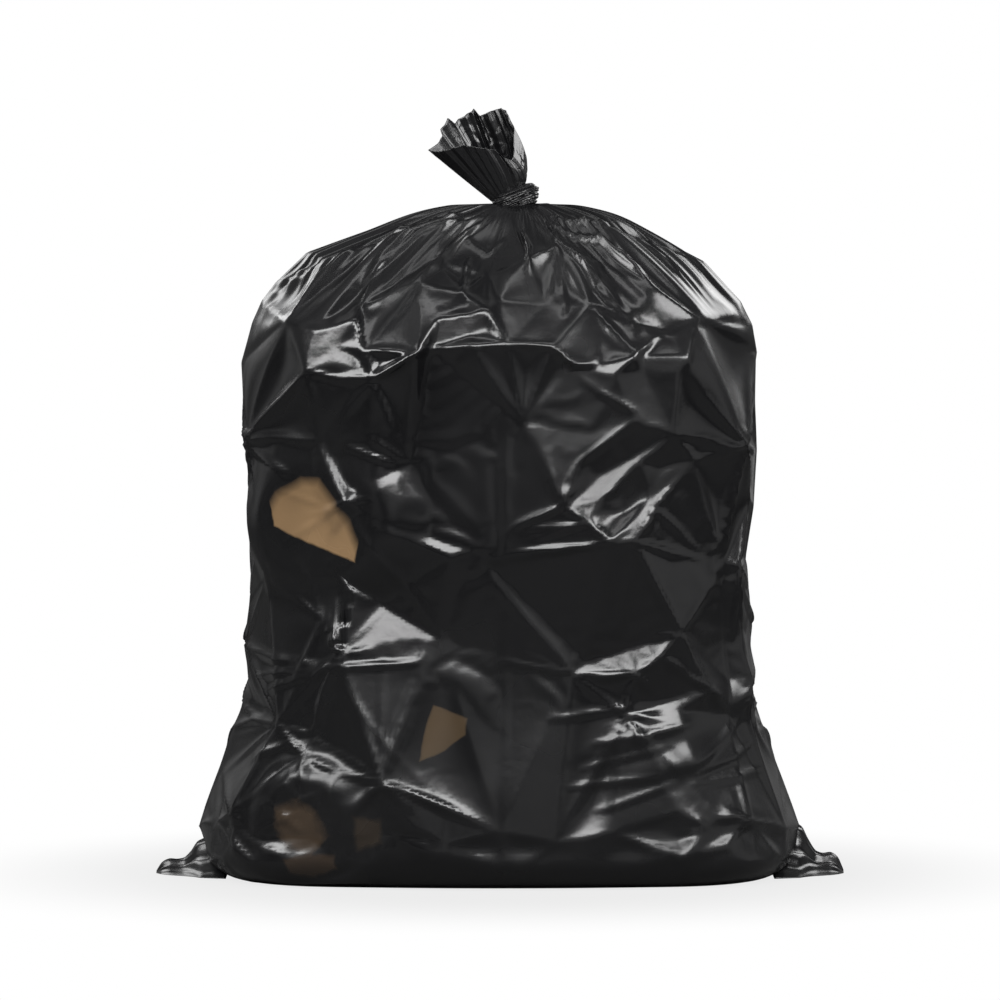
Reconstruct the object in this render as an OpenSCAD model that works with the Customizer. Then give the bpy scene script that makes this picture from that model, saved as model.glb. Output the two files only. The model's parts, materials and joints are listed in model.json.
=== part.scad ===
// Filled refuse sack of thin black film, its neck gathered in pleats and tied in a knot,
// standing on its spread foot with the two bottom corners pushed out as flat ears.
// Scraps of carton lie against the film from inside and show through it.
// Origin: middle of the foot, on the ground. +X is the sack's right side, -Y its front.

/* [Sack] */
// Width at the shoulders, above which the film gathers in
shoulder_w = 488; // [440:4:520]
// Depth at the shoulders
shoulder_d = 336; // [300:4:380]
// Height of the shoulders
shoulder_h = 487; // [440:1:520]
// Width at the slack waist, where the filling has settled
waist_w = 470; // [430:5:510]
// Depth at the slack waist
waist_d = 330; // [300:5:370]
// Height of the slack waist
waist_h = 180; // [150:5:220]
// Width of the spread foot at its widest
base_w = 566; // [520:2:600]
// Depth of the spread foot at its widest
base_d = 380; // [350:2:420]
// Height at which the foot is widest
base_h = 42; // [30:1:60]
// How far the film tucks in under the foot
base_tuck = 34; // [20:1:45]

/* [Neck] */
// Height of the neck, where the pleats run into the knot
neck_h = 636; // [600:1:660]
// Radius of the gathered film at the neck
neck_r = 16; // [12:0.5:20]
// Shift of the neck to the right
neck_x = 14; // [0:1:30]
// Number of pleats drawn into the neck
pleats = 24; // [18:1:26]
// Depth of the pleats where they are deepest
pleat_depth = 6; // [3:0.5:12]

/* [Knot] */
// Width of the wound band of the knot
knot_w = 48; // [40:1:56]
// Thickness of one strand of twisted film
strand_d = 9; // [7:0.5:11]
// Turns of film in the knot
knot_turns = 4; // [3:1:5]
// Slant of the strands, rising to the right
knot_slant = 25; // [10:1:35]

/* [Tail] */
// Length of the free end above the knot, at its tall back edge
tail_h = 92; // [80:1:110]
// Length of the free end at its low front lip
tail_lip = 58; // [45:1:70]
// Half width of the fan at its open mouth
tail_half_w = 41; // [34:1:46]
// Half depth of the fan at its open mouth
tail_half_d = 21; // [15:1:26]
// Lean of the free end to the left
tail_lean = 27; // [10:1:35]
// Thickness of the crumpled layers of film in the tail
tail_wall = 1.8; // [1.4:0.2:3]

/* [Folds] */
// Height of the soft lumps that the filling pushes out
lump = 5; // [2:0.5:7]
// Height of the points where the filling pokes the film out
pin_rise = 7; // [3:0.5:9]
// How flat the film is stretched between them: 0 keeps the rounded form, 1 makes flat facets
tautness = 0.6; // [0:0.1:1]
// How far the middle of a slack facet sinks in or swells out
sink = 5; // [0:0.5:7]
// Height of the sagging folds
sag_rise = 11; // [4:0.5:14]

/* [Ears] */
// Reach of each bottom corner past the widest line of the foot
ear_reach = 44; // [30:1:60]
// Height of the pinched fold on the right corner
right_ear_h = 44; // [30:1:60]
// Height of the pinched fold on the left corner
left_ear_h = 30; // [20:1:50]
// Half depth of a corner where it leaves the foot
ear_half_d = 58; // [40:1:75]

/* [Scraps] */
// Thickness of the carton board
board = 3; // [2:0.5:5]
// How far a scrap stands out of its seat in the film
proud = 0.6; // [0.2:0.1:1.5]
// Gap round the edge of a scrap
seat_gap = 0.4; // [0.2:0.1:1]
// Flat border of film round a scrap
seat_border = 14; // [10:1:24]

/* [Hidden] */

// Exponent of the boxy cross-section, and of the top's outline seen from the front and from the side,
// where the film slopes back almost straight from the edge of the filling to the neck
section_power = 2.5;
dome_power_w = 1.85;
dome_power_d = 1.3;
// Points on each pleat, and rings in the foot, the body and the rounded top
points_per_pleat = 4;
ring_points = pleats * points_per_pleat;
foot_rings = 4;
body_rings = 26;
dome_rings = 14;
// Points are crowded towards the two sides, where the sack turns sharply
crowding = 7;

// Points where the filling pokes the film out: angle round the sack, height, share of pin_rise
front_pins = [
    [234, 462, 1], [243, 387, 1], [291, 469, 1], [309, 414, 1], [272, 429, 0.5], [226, 350, 1],
    [262, 305, 0.15], [222, 201, 1], [252, 225, 0.3], [300, 311, 1], [338, 298, 0.5], [292, 194, 0.4],
    [322, 231, 0.4], [341, 409, 1], [315, 97, 0.6], [212, 155, 1], [216, 472, 1], [327, 491, 1],
    [195, 414, 1], [252, 493, 1], [310, 480, 1], [331, 177, 1], [238, 89, 0.2], [223, 298, 1],
    [314, 348, 1], [317, 30, 0.15], [332, 57, 0.3], [206, 30, 0.15]
];
back_pins = [
    [25, 400, 1], [32, 300, 1], [30, 140, 1], [47, 470, 1], [55, 370, 1], [58, 220, 1], [84, 120, 1],
    [88, 430, 1], [97, 310, 1], [112, 200, 1], [122, 470, 1], [128, 370, 1], [146, 90, 1], [140, 280, 1],
    [152, 180, 1], [158, 450, 1], [162, 350, 1], [15, 300, 0.4], [42, 345, 0.7], [40, 250, 0.3],
    [20, 480, 0.8], [68, 300, 0.6], [70, 430, 0.2], [76, 350, 0.9], [80, 230, 0.5], [45, 90, 0.7],
    [70, 60, 0.3], [100, 160, 0.8], [106, 370, 0.4], [110, 440, 0.7], [120, 60, 0.5], [118, 260, 0.2],
    [128, 140, 0.6], [141, 425, 0.3], [148, 340, 0.8], [150, 240, 0.4], [165, 220, 0.7], [160, 60, 0.4],
    [135, 210, 0.7], [90, 480, 0.5], [145, 490, 0.6]
];
// The edge of the filling across the chest, where the film slopes back to the neck: angle, height
chest_line = [[234, 474], [245, 498], [261, 506], [272, 507], [287, 505], [292, 487]];
chest_rise = 8;
// Corners of the drapes that hang from the knot: angle, height, how far each stands out
drapes = [
    [206, 526, 4], [201, 576, 6], [218, 547, -2], [232, 527, 5], [212, 597, 5], [237, 558, 6], [236, 586, -5],
    [227, 610, 4], [255, 551, 6], [264, 577, -4], [270, 547, 2], [285, 582, 6], [288, 547, -4], [303, 593, 4],
    [304, 547, 6], [320, 582, -4], [313, 532, -2], [325, 558, 6], [331, 610, 4], [321, 519, 4],
    [332, 530, -2],
    [15, 560, 4], [35, 540, -2], [55, 575, 5], [75, 540, 3], [95, 580, -2], [112, 545, 5], [130, 580, 4],
    [150, 540, -2], [165, 570, 5]
];
// Corners along the two sides: angle, height, how far each stands out
sides = [
    [180, 45, 3], [180, 66, 0], [180, 84, 0], [180, 103, 2], [180, 140, 8], [180, 161, 5], [180, 180, -2],
    [180, 220, 5], [180, 260, 1], [180, 307, -3], [180, 365, -6], [180, 407, -1], [180, 450, 0],
    [180, 486, 1],
    [180, 524, 0], [180, 543, 2], [180, 559, 2], [180, 585, 3], [0, 44, 2], [0, 66, -2], [0, 84, -2],
    [0, 105, 0], [0, 140, 4], [0, 161, 4], [0, 182, -9], [0, 217, 0], [0, 239, 3], [0, 273, -1],
    [0, 302, -5], [0, 350, 0], [0, 403, 1], [0, 450, -2], [0, 496, 0], [0, 521, 3], [0, 542, 4],
    [0, 577, 4]
];
// Taut facets: the way each faces (angle to the right, angle up), how far it stands out, and its corners
facets = [
    [-24, 17, 2, [[214, 519], [222, 530], [222, 504], [215, 481]]],
    [-4, 12, 2, [[248, 503], [247, 531], [264, 538], [259, 514]]],
    [-4, 19, 2, [[226, 285], [235, 266], [251, 233], [240, 231], [224, 218]]],
    [-25, 18, 3, [[207, 149], [218, 140], [237, 101], [227, 109], [217, 124]]],
    [6, 18, 3, [[290, 357], [299, 384], [319, 423], [311, 397], [301, 362], [297, 341]]],
    [21, 18, 3, [[303, 321], [313, 364], [324, 398], [315, 354], [310, 323]]],
    [4, 11, 1, [[277, 433], [297, 425], [308, 436], [294, 407], [283, 412]]],
    [7, 18, 3, [[293, 200], [296, 211], [307, 221], [322, 237], [316, 216], [310, 200]]],
    [-42, 8, 0, [[193, 374], [200, 359], [204, 339], [202, 291], [196, 320]]]
];
// Sagging folds: angle, height, slope, half length, rise above the edge, share of sag_rise
sags = [
    [346, 178, 4, 60, 36, 1.1], [186, 175, -4, 46, 34, 0.7], [313, 145, 14, 55, 24, 0.6],
    [320, 118, 10, 50, 22, 0.6], [250, 38, -6, 70, 26, 0.4], [82, 150, 6, 70, 40, 0.8],
    [125, 150, -8, 60, 36, 0.7], [20, 170, 10, 50, 34, 0.8]
];

// Scraps: angle round the sack, height, outline
flap = [217, 341, [[-48, 14], [-41, 25], [-14, 38], [6, 38], [22, 21], [34, 7], [47, -22],
                   [44, -40], [22, -28], [-20, -13], [-44, -6]]];
strip = [253, 148, [[-9, 25], [22, 13], [20, -2], [1, -17], [-21, -26], [-17, 2]]];
wad = [221, 63, [[-24, 17], [-2, 24], [16, 15], [27, -8], [9, -21], [-14, -17], [-26, 0]]];
tray = [223, 27, [[-25, 3], [-3, 10], [23, 7], [25, -4], [3, -13], [-19, -10]]];
chip = [236, 58, [[-12, 14], [12, 10], [14, -10], [-8, -16]]];
scraps = [flap, strip, wad, tray, chip];
// Depth of the crumpled paper behind its outline
wad_depth = 7;

function clamp01(v) = max(0, min(1, v));
function smooth(a, b, v) = let (s = clamp01(v)) a + (b - a) * s * s * (3 - 2 * s);
function signed_power(v, p) = sign(v) * pow(abs(v), p);

// How round the foot is at height z, from 0 on the ground to 1 at base_h
function foot_curve(z) = sqrt(1 - pow(1 - clamp01(z / base_h), 2));
// Share of the way from the shoulders to the neck
function dome_share(z) = clamp01((z - shoulder_h) / (neck_h - shoulder_h));
// Half size of the cross-section at height z, from the foot, the waist and the shoulders
function half_size(z, base, waist, shoulder, power) =
    z < base_h ? base - base_tuck * (1 - foot_curve(z))
    : z < waist_h ? smooth(base, waist, (z - base_h) / (waist_h - base_h))
    : z < shoulder_h ? smooth(waist, shoulder, (z - waist_h) / (shoulder_h - waist_h))
    : neck_r + (shoulder - neck_r) * pow(max(0, 1 - pow(dome_share(z), power)), 1 / power);
function half_w(z) = half_size(z, base_w / 2, waist_w / 2, shoulder_w / 2, dome_power_w);
function half_d(z) = half_size(z, base_d / 2, waist_d / 2, shoulder_d / 2, dome_power_d);
// The section grows rounder towards the neck
function power_at(z) = smooth(section_power, 2, dome_share(z));
function axis_x(z) = smooth(0, neck_x, (dome_share(z) - 0.7) / 0.3);

// A point of the smooth sack, at angle t round the sack and height z
function rim(t, w, d, p) = pow(pow(abs(cos(t)) / w, p) + pow(abs(sin(t)) / d, p), -1 / p);
function smooth_point(t, z) = let (r = rim(t, half_w(z), half_d(z), power_at(z)))
    [axis_x(z) + r * cos(t), r * sin(t), z];
// Outward direction there, which tips up over the rounded top
function tip_up(z) = 80 * smooth(0, 1, dome_share(z));
function out_level(p, z) = let (
        e = power_at(z),
        n = [signed_power((p.x - axis_x(z)) / half_w(z), e - 1) / half_w(z),
             signed_power(p.y / half_d(z), e - 1) / half_d(z), 0])
    n / norm(n);
function out_dir(p, z) = out_level(p, z) * cos(tip_up(z)) + [0, 0, sin(tip_up(z))];

// Lumps of the filling
function lumps_at(t, z) = lump * (0.8 * sin(2 * t + 20) * sin(0.9 * z)
    + 0.6 * sin(3 * t + 0.7 * z + 90) + 0.4 * sin(5 * t - 1.1 * z));
// Features on the far side of the sack don't reach a point
far_side = 45;

// Lengths along the film: round the shoulders from the middle of the front, and up the side and over the top
turn_step = 3;
function at_turn(i) = smooth_point(90 + turn_step * i, shoulder_h);
walk = [for (i = 0, s = 0; i <= 360 / turn_step; s = s + norm(at_turn(i + 1) - at_turn(i)), i = i + 1)
    [90 + turn_step * i, s]];
girth = walk[len(walk) - 1][1];
dome_arc = 0.74 * (shoulder_d / 2 + neck_h - shoulder_h);
function spot(t, z) = [lookup(t < 90 ? t + 360 : t, walk) - girth / 2,
    min(z, shoulder_h) + dome_arc * asin(dome_share(z)) / 90];

// A held point of the film: its spot, its place, how far it stands out, and how flat the film is beside it
function held(t, z, rise, flat) = let (p = smooth_point(t, z))
    [spot(t, z), p + rise * out_dir(p, z), rise, flat];
function poked(t, z, rise) = held(t, z, rise + lumps_at(t, z), tautness);
// The corners of a facet, moved fore and aft onto its plane
function middle(points) = [for (p = points) 1] * points / len(points);
function facet_points(f) = let (
        n = [sin(f[0]) * cos(f[1]), -cos(f[0]) * cos(f[1]), sin(f[1])],
        m = middle([for (c = f[3]) held(c[0], c[1], f[2] + lumps_at(c[0], c[1]), 1)[1]]))
    [for (c = f[3]) let (
            p = smooth_point(c[0], c[1]),
            q = [p.x, m.y - ((p.x - m.x) * n.x + (p.z - m.z) * n.z) / n.y, p.z])
        [spot(c[0], c[1]), q, (q - p) * out_dir(p, c[1]), 1]];
// Rings of held points that end the net at the foot and below the neck, and the bands where it dies away
net_foot = 14;
net_top = neck_h - 8;
foot_band = [16, 22];
top_band = [shoulder_h + 0.61 * dome_arc, 0.19 * dome_arc];
held_rings = [for (t = [0 : 15 : 345]) each [
    held(t + 3 * sin(7 * t), net_foot, lumps_at(t, net_foot), tautness),
    held(t + 4 * sin(5 * t), net_top, lumps_at(t, net_top), tautness)]];
// Points closer than the gap to an earlier one are left out
function clear_of(kept, h, gap) = min([for (k = kept) norm(k[0] - h[0])]) > gap;
function spaced(list, gap, kept, i = 0) = i == len(list) ? kept
    : spaced(list, gap, clear_of(kept, list[i], gap) ? concat(kept, [list[i]]) : kept, i + 1);
pin_gap = 24;
firm = concat(
    [for (f = facets) each facet_points(f)],
    [for (c = chest_line) poked(c[0], c[1], chest_rise)],
    [for (s = sides) held(s[0], s[1], s[2], 1)],
    [for (d = drapes) poked(d[0], d[1], d[2])],
    held_rings);
own = spaced([for (p = concat(front_pins, back_pins)) poked(p[0], p[1], p[2] * pin_rise)], pin_gap, firm);
// The net runs on past the seam at the back
overlap = 260;
wide = concat(own,
    [for (h = own) if (h[0].x < overlap - girth / 2) [h[0] + [girth, 0], h[1], h[2], h[3]]],
    [for (h = own) if (h[0].x > girth / 2 - overlap) [h[0] - [girth, 0], h[1], h[2], h[3]]]);

// The net's triangles are those whose circles hold no other point. Each is kept as its corners, with the
// middle and the squared radius of its circle. Three far corners hold the first one.
far_corner = 6000;
corners = concat([[-far_corner, -far_corner], [far_corner, -far_corner], [0, far_corner]],
    [for (h = wide) h[0]]);
function circled(a, b, c) = let (
        u = corners[b] - corners[a],
        v = corners[c] - corners[a],
        m = [v.y * (u * u) - u.y * (v * v), u.x * (v * v) - v.x * (u * u)] / (2 * (u.x * v.y - u.y * v.x)))
    [a, b, c, corners[a] + m, m * m];
function holds(f, q) = (q - f[3]) * (q - f[3]) < f[4];
function with_point(net, i) = let (
        hit = [for (f = net) if (holds(f, corners[i])) f],
        edges = [for (f = hit) each [[f[0], f[1]], [f[1], f[2]], [f[2], f[0]]]])
    concat([for (f = net) if (!holds(f, corners[i])) f],
        [for (e = edges) if (len([for (o = edges) if (o[0] == e[1] && o[1] == e[0]) 1]) == 0)
            circled(e[0], e[1], i)]);
function joined(net, i) = i == len(corners) ? net : joined(with_point(net, i), i + 1);
// Facets of the net: corners, lowest and highest spot, and how far the middle sinks in, which varies in waves
sink_size = 90;
sink_waves = 11;
net_facets = [for (f = joined([circled(0, 1, 2)], 3)) if (min(f[0], f[1], f[2]) > 2) let (
        c = [corners[f[0]], corners[f[1]], corners[f[2]]],
        m = middle(c),
        size = sqrt(abs(cross(c[1] - c[0], c[2] - c[0]))),
        firmness = min([for (k = [0 : 2]) wide[f[k] - 3][3]]),
        depth = firmness == 1 ? 0 : sink * (0.35 + sin(360 * sink_waves * m.x / girth + 2.3 * m.y)))
    [[f[0], f[1], f[2]], min([for (p = c) p.x]), max([for (p = c) p.x]), min([for (p = c) p.y]),
        max([for (p = c) p.y]), depth * min(1, size / sink_size)]];
// Shares of the three corners at a spot
function shares(f, q) = let (
        a = corners[f[0][0]],
        u = corners[f[0][1]] - a,
        v = corners[f[0][2]] - a,
        whole = cross(u, v),
        b = cross(q - a, v) / whole,
        c = cross(u, q - a) / whole)
    [1 - b - c, b, c];
// The facets that reach height z
function facets_near(z) = let (y = spot(270, z).y) [for (f = net_facets) if (f[3] <= y && f[4] >= y) f];
// How far the taut film lies from the smooth sack at a point. It dies away at the ground and at the neck.
function taut_offset(t, z, p, n, near) = let (
        q = spot(t, z),
        found = [for (f = near) if (f[1] <= q.x && f[2] >= q.x) let (w = shares(f, q)) if (min(w) > -0.0001)
            [f, w]])
    len(found) == 0 ? [0, 0, 0] : let (
        f = found[0][0],
        w = found[0][1],
        ends = [for (k = f[0]) wide[k - 3]],
        flat_place = w * [for (e = ends) e[1]],
        rise = w * [for (e = ends) e[2]],
        flat = w * [for (e = ends) e[3]],
        round_place = p + rise * n,
        bowl = 27 * w[0] * w[1] * w[2] * f[5],
        low_fade = smooth(0, 1, (q.y - foot_band[0]) / foot_band[1]),
        high_fade = smooth(1, 0, (q.y - top_band[0]) / top_band[1]))
    (round_place + flat * (flat_place - round_place) - bowl * n - p) * low_fade * high_fade;
// One sagging fold: a long ridge, steep below and gentle above
function sag_at(s, p, n) = let (
        d = p - smooth_point(s[0], s[1]),
        u = d * [-n.y, n.x, 0],
        along = (u * cos(s[2]) + d.z * sin(s[2])) / s[3],
        across = (d.z * cos(s[2]) - u * sin(s[2])) / s[4])
    abs(d * n) > far_side || abs(along) > 2 || abs(across) > 2 ? 0
    : sag_rise * s[5] * exp(-along * along - pow(across < 0 ? 2.2 * across : across, 2));
function sum(list, i = 0) = i < len(list) ? list[i] + sum(list, i + 1) : 0;
// Pleats: strongest halfway up the rounded top, each with its own depth
function pleat_at(q, z) = let (
        s = dome_share(z),
        k = round(q * pleats / 360) % pleats,
        own = 0.65 + 0.35 * sin(137 * k))
    pleat_depth * own * cos(q * pleats) * smooth(0, 1, s * 2.4) * smooth(1, 0.28, (s - 0.75) * 4);
// The folds die away at the ground, so the foot rests flat, and at the neck
function relief_at(q, z, p, n) = clamp01(z / 30) * smooth(1, 0, (dome_share(z) - 0.7) * 3.3)
    * sum([for (s = sags) sag_at(s, p, n)]) + pleat_at(q, z);

// Frame of a scrap: its middle on the film, pressed in a little, and its outward direction
seat_press = 4;
function scrap_dir(s) = out_level(smooth_point(s[0], s[1]), s[1]);
function scrap_mid(s) = smooth_point(s[0], s[1]) - seat_press * scrap_dir(s);
function reach_of(outline, axis) = max([for (p = outline) abs(p[axis])]);
// How far the point lies from a scrap, where 1 is just past its corners
function beside(p, s) = let (d = p - scrap_mid(s), n = scrap_dir(s))
    abs(d * n) > 2 * far_side ? 10
    : norm([d * [-n.y, n.x, 0] / (reach_of(s[2], 0) + seat_border), d.z / (reach_of(s[2], 1) + seat_border)]);
// The film is drawn flat against a scrap, and eases back to its own shape past the border
function flatten(p, i = 0) = i == len(scraps) ? p : let (
        s = scraps[i],
        n = scrap_dir(s),
        w = smooth(1, 0, (beside(p, s) - 1) / 0.6))
    flatten(p - w * ((p - scrap_mid(s)) * n) * n, i + 1);

function film_point(q, z, near) = let (
        t = q - crowding * sin(2 * q),
        p = smooth_point(t, z))
    z <= 0 ? p : let (
        n = out_dir(p, z),
        f = flatten(p + taut_offset((t + 360) % 360, z, p, n, near) + relief_at(q, z, p, n) * n))
    [f.x, f.y, max(1, f.z)];
// Heights of the rings, from the ground to the neck
ring_heights = concat(
    [for (i = [0 : foot_rings - 1]) base_h * (1 - cos(90 * i / foot_rings))],
    [for (i = [0 : body_rings - 1]) base_h + (shoulder_h - base_h) * i / body_rings],
    [for (i = [0 : dome_rings]) shoulder_h + (neck_h - shoulder_h) * sin(90 * i / dome_rings)]);

// One face of a loft, between two rings, split along the diagonal that stands out further
function split(a, b, c, d, p) = let (outward = cross(p[c] - p[a], p[d] - p[b]))
    (p[a] + p[c] - p[b] - p[d]) * outward > 0 ? [[a, d, c], [a, c, b]] : [[a, d, b], [b, d, c]];
// Closed solid through a stack of rings that have the same number of points
module loft(rings) {
    n = len(rings[0]);
    m = len(rings);
    all = [for (ring = rings) each ring];
    polyhedron(points = all, faces = concat(
        [[for (i = [0 : n - 1]) i]],
        [for (j = [0 : m - 2], i = [0 : n - 1]) let (a = j * n + i, b = j * n + (i + 1) % n)
            each split(a, b, b + n, a + n, all)],
        [[for (i = [n - 1 : -1 : 0]) (m - 1) * n + i]]));
}

// The filled sack from the ground to the neck
module filled_film() {
    loft([for (z = ring_heights) let (near = facets_near(z))
        [for (i = [0 : ring_points - 1]) film_point(360 * i / ring_points, z, near)]]);
}

// A bottom corner of the flat sack, pushed out sideways: a pinched fold, then a flat tip
module ear(side, fold_h) {
    root = base_w / 2;
    // Along the corner: reach past the foot, height of the fold, half depth
    stations = [[-0.55, 1.35, 1.1], [0, 1.08, 0.95], [0.12, 1, 0.8], [0.38, 0.46, 0.62], [0.7, 0.42, 0.45],
                [0.93, 0.3, 0.26], [1, 0.12, 0.12]];
    // Across the corner: share of the half depth, share of the height
    section = [[-1, 0], [-0.92, 0.28], [-0.5, 0.62], [-0.16, 0.86], [0, 1], [0.2, 0.8], [0.55, 0.5],
               [0.9, 0.26], [1, 0]];
    rings = [for (s = stations) [for (p = section)
        [side * (root + s[0] * ear_reach), p[0] * s[2] * ear_half_d, p[1] * s[1] * fold_h]]];
    loft(side < 0 ? rings : [for (ring = rings) [for (i = [len(ring) - 1 : -1 : 0]) ring[i]]]);
}

// The knot: a band of twisted film wound round the neck
module knot() {
    steps = 11;
    strand_r = strand_d / 2;
    band_r = knot_w / 2 - strand_r;
    pitch = strand_d * 0.72;
    // Its depth is a little less than its width
    knot_flat = 0.86;
    // The band bulges in the middle, like a barrel
    function strand_point(k) = let (h = k / (knot_turns * steps) - 0.5, r = band_r * (1 - 0.5 * h * h))
        [r * cos(360 * k / steps), knot_flat * r * sin(360 * k / steps), h * knot_turns * pitch];
    translate([neck_x + 1, 0, neck_h + 8]) rotate([0, -knot_slant, 0]) {
        for (k = [0 : knot_turns * steps - 1]) {
            hull() {
                translate(strand_point(k)) sphere(r = strand_r, $fn = 6);
                translate(strand_point(k + 1)) sphere(r = strand_r, $fn = 6);
            }
        }
        scale([1, knot_flat, 1]) cylinder(r = 0.92 * band_r, h = knot_turns * pitch, center = true, $fn = 16);
    }
}

// The free end above the knot: a pleated fan of film, open at its mouth
module tail() {
    around = 36;
    waves = 9;
    start = 0.06;
    deep_end = 0.3;
    // Share of the length reached at angle a: tall at the back, low at the front lip, ragged
    function edge(a) = (tail_h + tail_lip) / 2 + (tail_h - tail_lip) / 2 * sin(a) + 3.5 * sin(4 * a + 30);
    function fan_w(s) = neck_r * 0.7 + (tail_half_w - neck_r * 0.7) * pow(s, 0.8);
    function fan_d(s) = neck_r * 0.6 + (tail_half_d - neck_r * 0.6) * s;
    // The two films meet at the fan's left and right edges
    function fan_point(a, s, wall) = let (
            fold = 1 + 0.09 * cos(waves * a) * min(1, 3 * s),
            w = (fan_w(s) - 4.5 * wall) * fold,
            d = (fan_d(s) - wall) * fold)
        [w * cos(a), d * signed_power(sin(a), 1.25), s * edge(a)];
    function ring(s, wall) = [for (i = [0 : around - 1]) fan_point(360 * i / around, s, wall)];
    translate([neck_x - 2, 0, neck_h + 6]) rotate([12, -tail_lean, 0])
        loft(concat(
            [for (i = [0 : 8]) ring(start + (1 - start) * i / 8, 0)],
            [for (i = [5 : -1 : 0]) ring(deep_end + (1 - deep_end) * i / 5, tail_wall)]));
}

// Puts a scrap's outline on the film, with its outer side towards +Z
module at_scrap(s) {
    n = scrap_dir(s);
    translate(scrap_mid(s)) rotate([90, 0, atan2(n.y, n.x) + 90]) children();
}

// The recess that the film leaves for a scrap
module seat(s, depth) {
    at_scrap(s) translate([0, 0, proud - depth])
        linear_extrude(depth + 20) offset(delta = seat_gap) polygon(s[2]);
}

// A flat scrap of carton with pressed fold lines: middle, direction and length of each
module carton(s, scores) {
    score_w = 1.6;
    score_d = 0.8;
    at_scrap(s) difference() {
        translate([0, 0, proud - board]) linear_extrude(board) polygon(s[2]);
        for (c = scores) translate([c[0], c[1], proud]) rotate([0, 0, c[2]])
            cube([c[3], score_w, 2 * score_d], center = true);
    }
}

module sack() {
    color("#1d1e20") difference() {
        union() {
            filled_film();
            ear(1, right_ear_h);
            ear(-1, left_ear_h);
            knot();
            tail();
        }
        for (s = [flap, strip, tray, chip]) seat(s, board);
        seat(wad, wad_depth);
    }
}

module carton_flap() {
    color("#9c7f5d") carton(flap, [[-12, 12, 33, 110], [34, -12, -64, 62]]);
}

module carton_strip() {
    color("#6d5a42") carton(strip, [[2, 3, 62, 66]]);
}

// Crumpled brown paper: a flat back and a creased front with its peaks off the middle
module kraft_paper_wad() {
    function shrunk(outline, share, shift) = [for (p = outline) share * p + shift];
    function lifted(outline, z, ripple) = [for (i = [0 : len(outline) - 1])
        [outline[i].x, outline[i].y, z + ripple * (i % 2)]];
    outline = [for (i = [len(wad[2]) - 1 : -1 : 0]) wad[2][i]];
    color("#6a5743") at_scrap(wad) loft([
        lifted(outline, proud - wad_depth, 0),
        lifted(outline, proud - wad_depth / 2, -1),
        lifted(shrunk(outline, 0.72, [2, 1]), proud - 1.5, 1.2),
        lifted(shrunk(outline, 0.34, [4, -3]), proud - 1, 1)]);
}

module carton_tray_corner() {
    color("#4a3e33") carton(tray, [[2, -1, 4, 60]]);
}

module carton_chip() {
    color("#3b342c") carton(chip, [[0, 0, 80, 40]]);
}

sack();
carton_flap();
carton_strip();
kraft_paper_wad();
carton_tray_corner();
carton_chip();
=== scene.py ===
import json
import math

import bpy
import numpy as np
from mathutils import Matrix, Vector
from mathutils.geometry import delaunay_2d_cdt

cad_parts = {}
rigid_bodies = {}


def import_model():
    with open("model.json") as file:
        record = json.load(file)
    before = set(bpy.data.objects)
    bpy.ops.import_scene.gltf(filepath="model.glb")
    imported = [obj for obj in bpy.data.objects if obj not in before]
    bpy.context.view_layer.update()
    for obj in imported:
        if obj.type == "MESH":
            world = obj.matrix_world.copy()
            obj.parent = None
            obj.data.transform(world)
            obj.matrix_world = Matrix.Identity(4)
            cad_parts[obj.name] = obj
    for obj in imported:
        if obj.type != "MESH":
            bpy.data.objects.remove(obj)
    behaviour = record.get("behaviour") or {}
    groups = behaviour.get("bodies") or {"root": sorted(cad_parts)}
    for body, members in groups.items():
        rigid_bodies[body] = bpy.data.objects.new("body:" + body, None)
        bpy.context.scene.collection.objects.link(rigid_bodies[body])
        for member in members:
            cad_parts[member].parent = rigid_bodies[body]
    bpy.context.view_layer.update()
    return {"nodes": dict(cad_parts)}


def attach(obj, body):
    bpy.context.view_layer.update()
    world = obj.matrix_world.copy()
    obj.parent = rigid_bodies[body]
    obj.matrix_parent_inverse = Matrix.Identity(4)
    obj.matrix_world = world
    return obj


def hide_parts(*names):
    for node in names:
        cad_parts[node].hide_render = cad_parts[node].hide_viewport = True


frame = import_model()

mm = 0.001
for thing in bpy.data.objects:
    thing.select_set(False)

# The camera stands where the photograph was taken from: far off and a little above the sack's middle
camera = {
    "distance": 7000,         # mm from the sack's middle
    "elevation": 2.5,         # degrees above level
    "frameWidth": 950,        # mm across the picture at the sack's middle
    "aimHeight": 355,         # mm, height of the point in the middle of the picture
    "sensor": 36,             # mm
    "picture": 1000,          # pixels across the photograph
}


def cameraPlace():
    tilt = math.radians(camera["elevation"])
    aim = np.array([0, 0, camera["aimHeight"]])
    back = np.array([0, -math.cos(tilt), math.sin(tilt)]) * camera["distance"]
    return aim, back


def addCamera():
    aim, back = cameraPlace()
    bpy.ops.object.camera_add(location=Vector((aim + back) * mm))
    shot = bpy.context.object
    shot.name = "studioCamera"
    shot.rotation_euler = Vector(-back).to_track_quat("-Z", "Y").to_euler()
    shot.data.sensor_width = camera["sensor"]
    shot.data.lens = camera["sensor"] * camera["distance"] / camera["frameWidth"]
    bpy.context.scene.camera = shot


def sightLine(px, py):
    # The line from the camera through a point of the photograph
    aim, back = cameraPlace()
    scale = camera["frameWidth"] / camera["picture"]
    tilt = math.radians(camera["elevation"])
    upward = np.array([0, math.sin(tilt), math.cos(tilt)])
    half = camera["picture"] / 2
    ahead = -back + np.array([1, 0, 0]) * (px - half) * scale + upward * (half - py) * scale
    return aim + back, ahead


def picturePlace(px, py, y):
    eye, ahead = sightLine(px, py)
    return eye + ahead * (y - eye[1]) / ahead[1]


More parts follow.
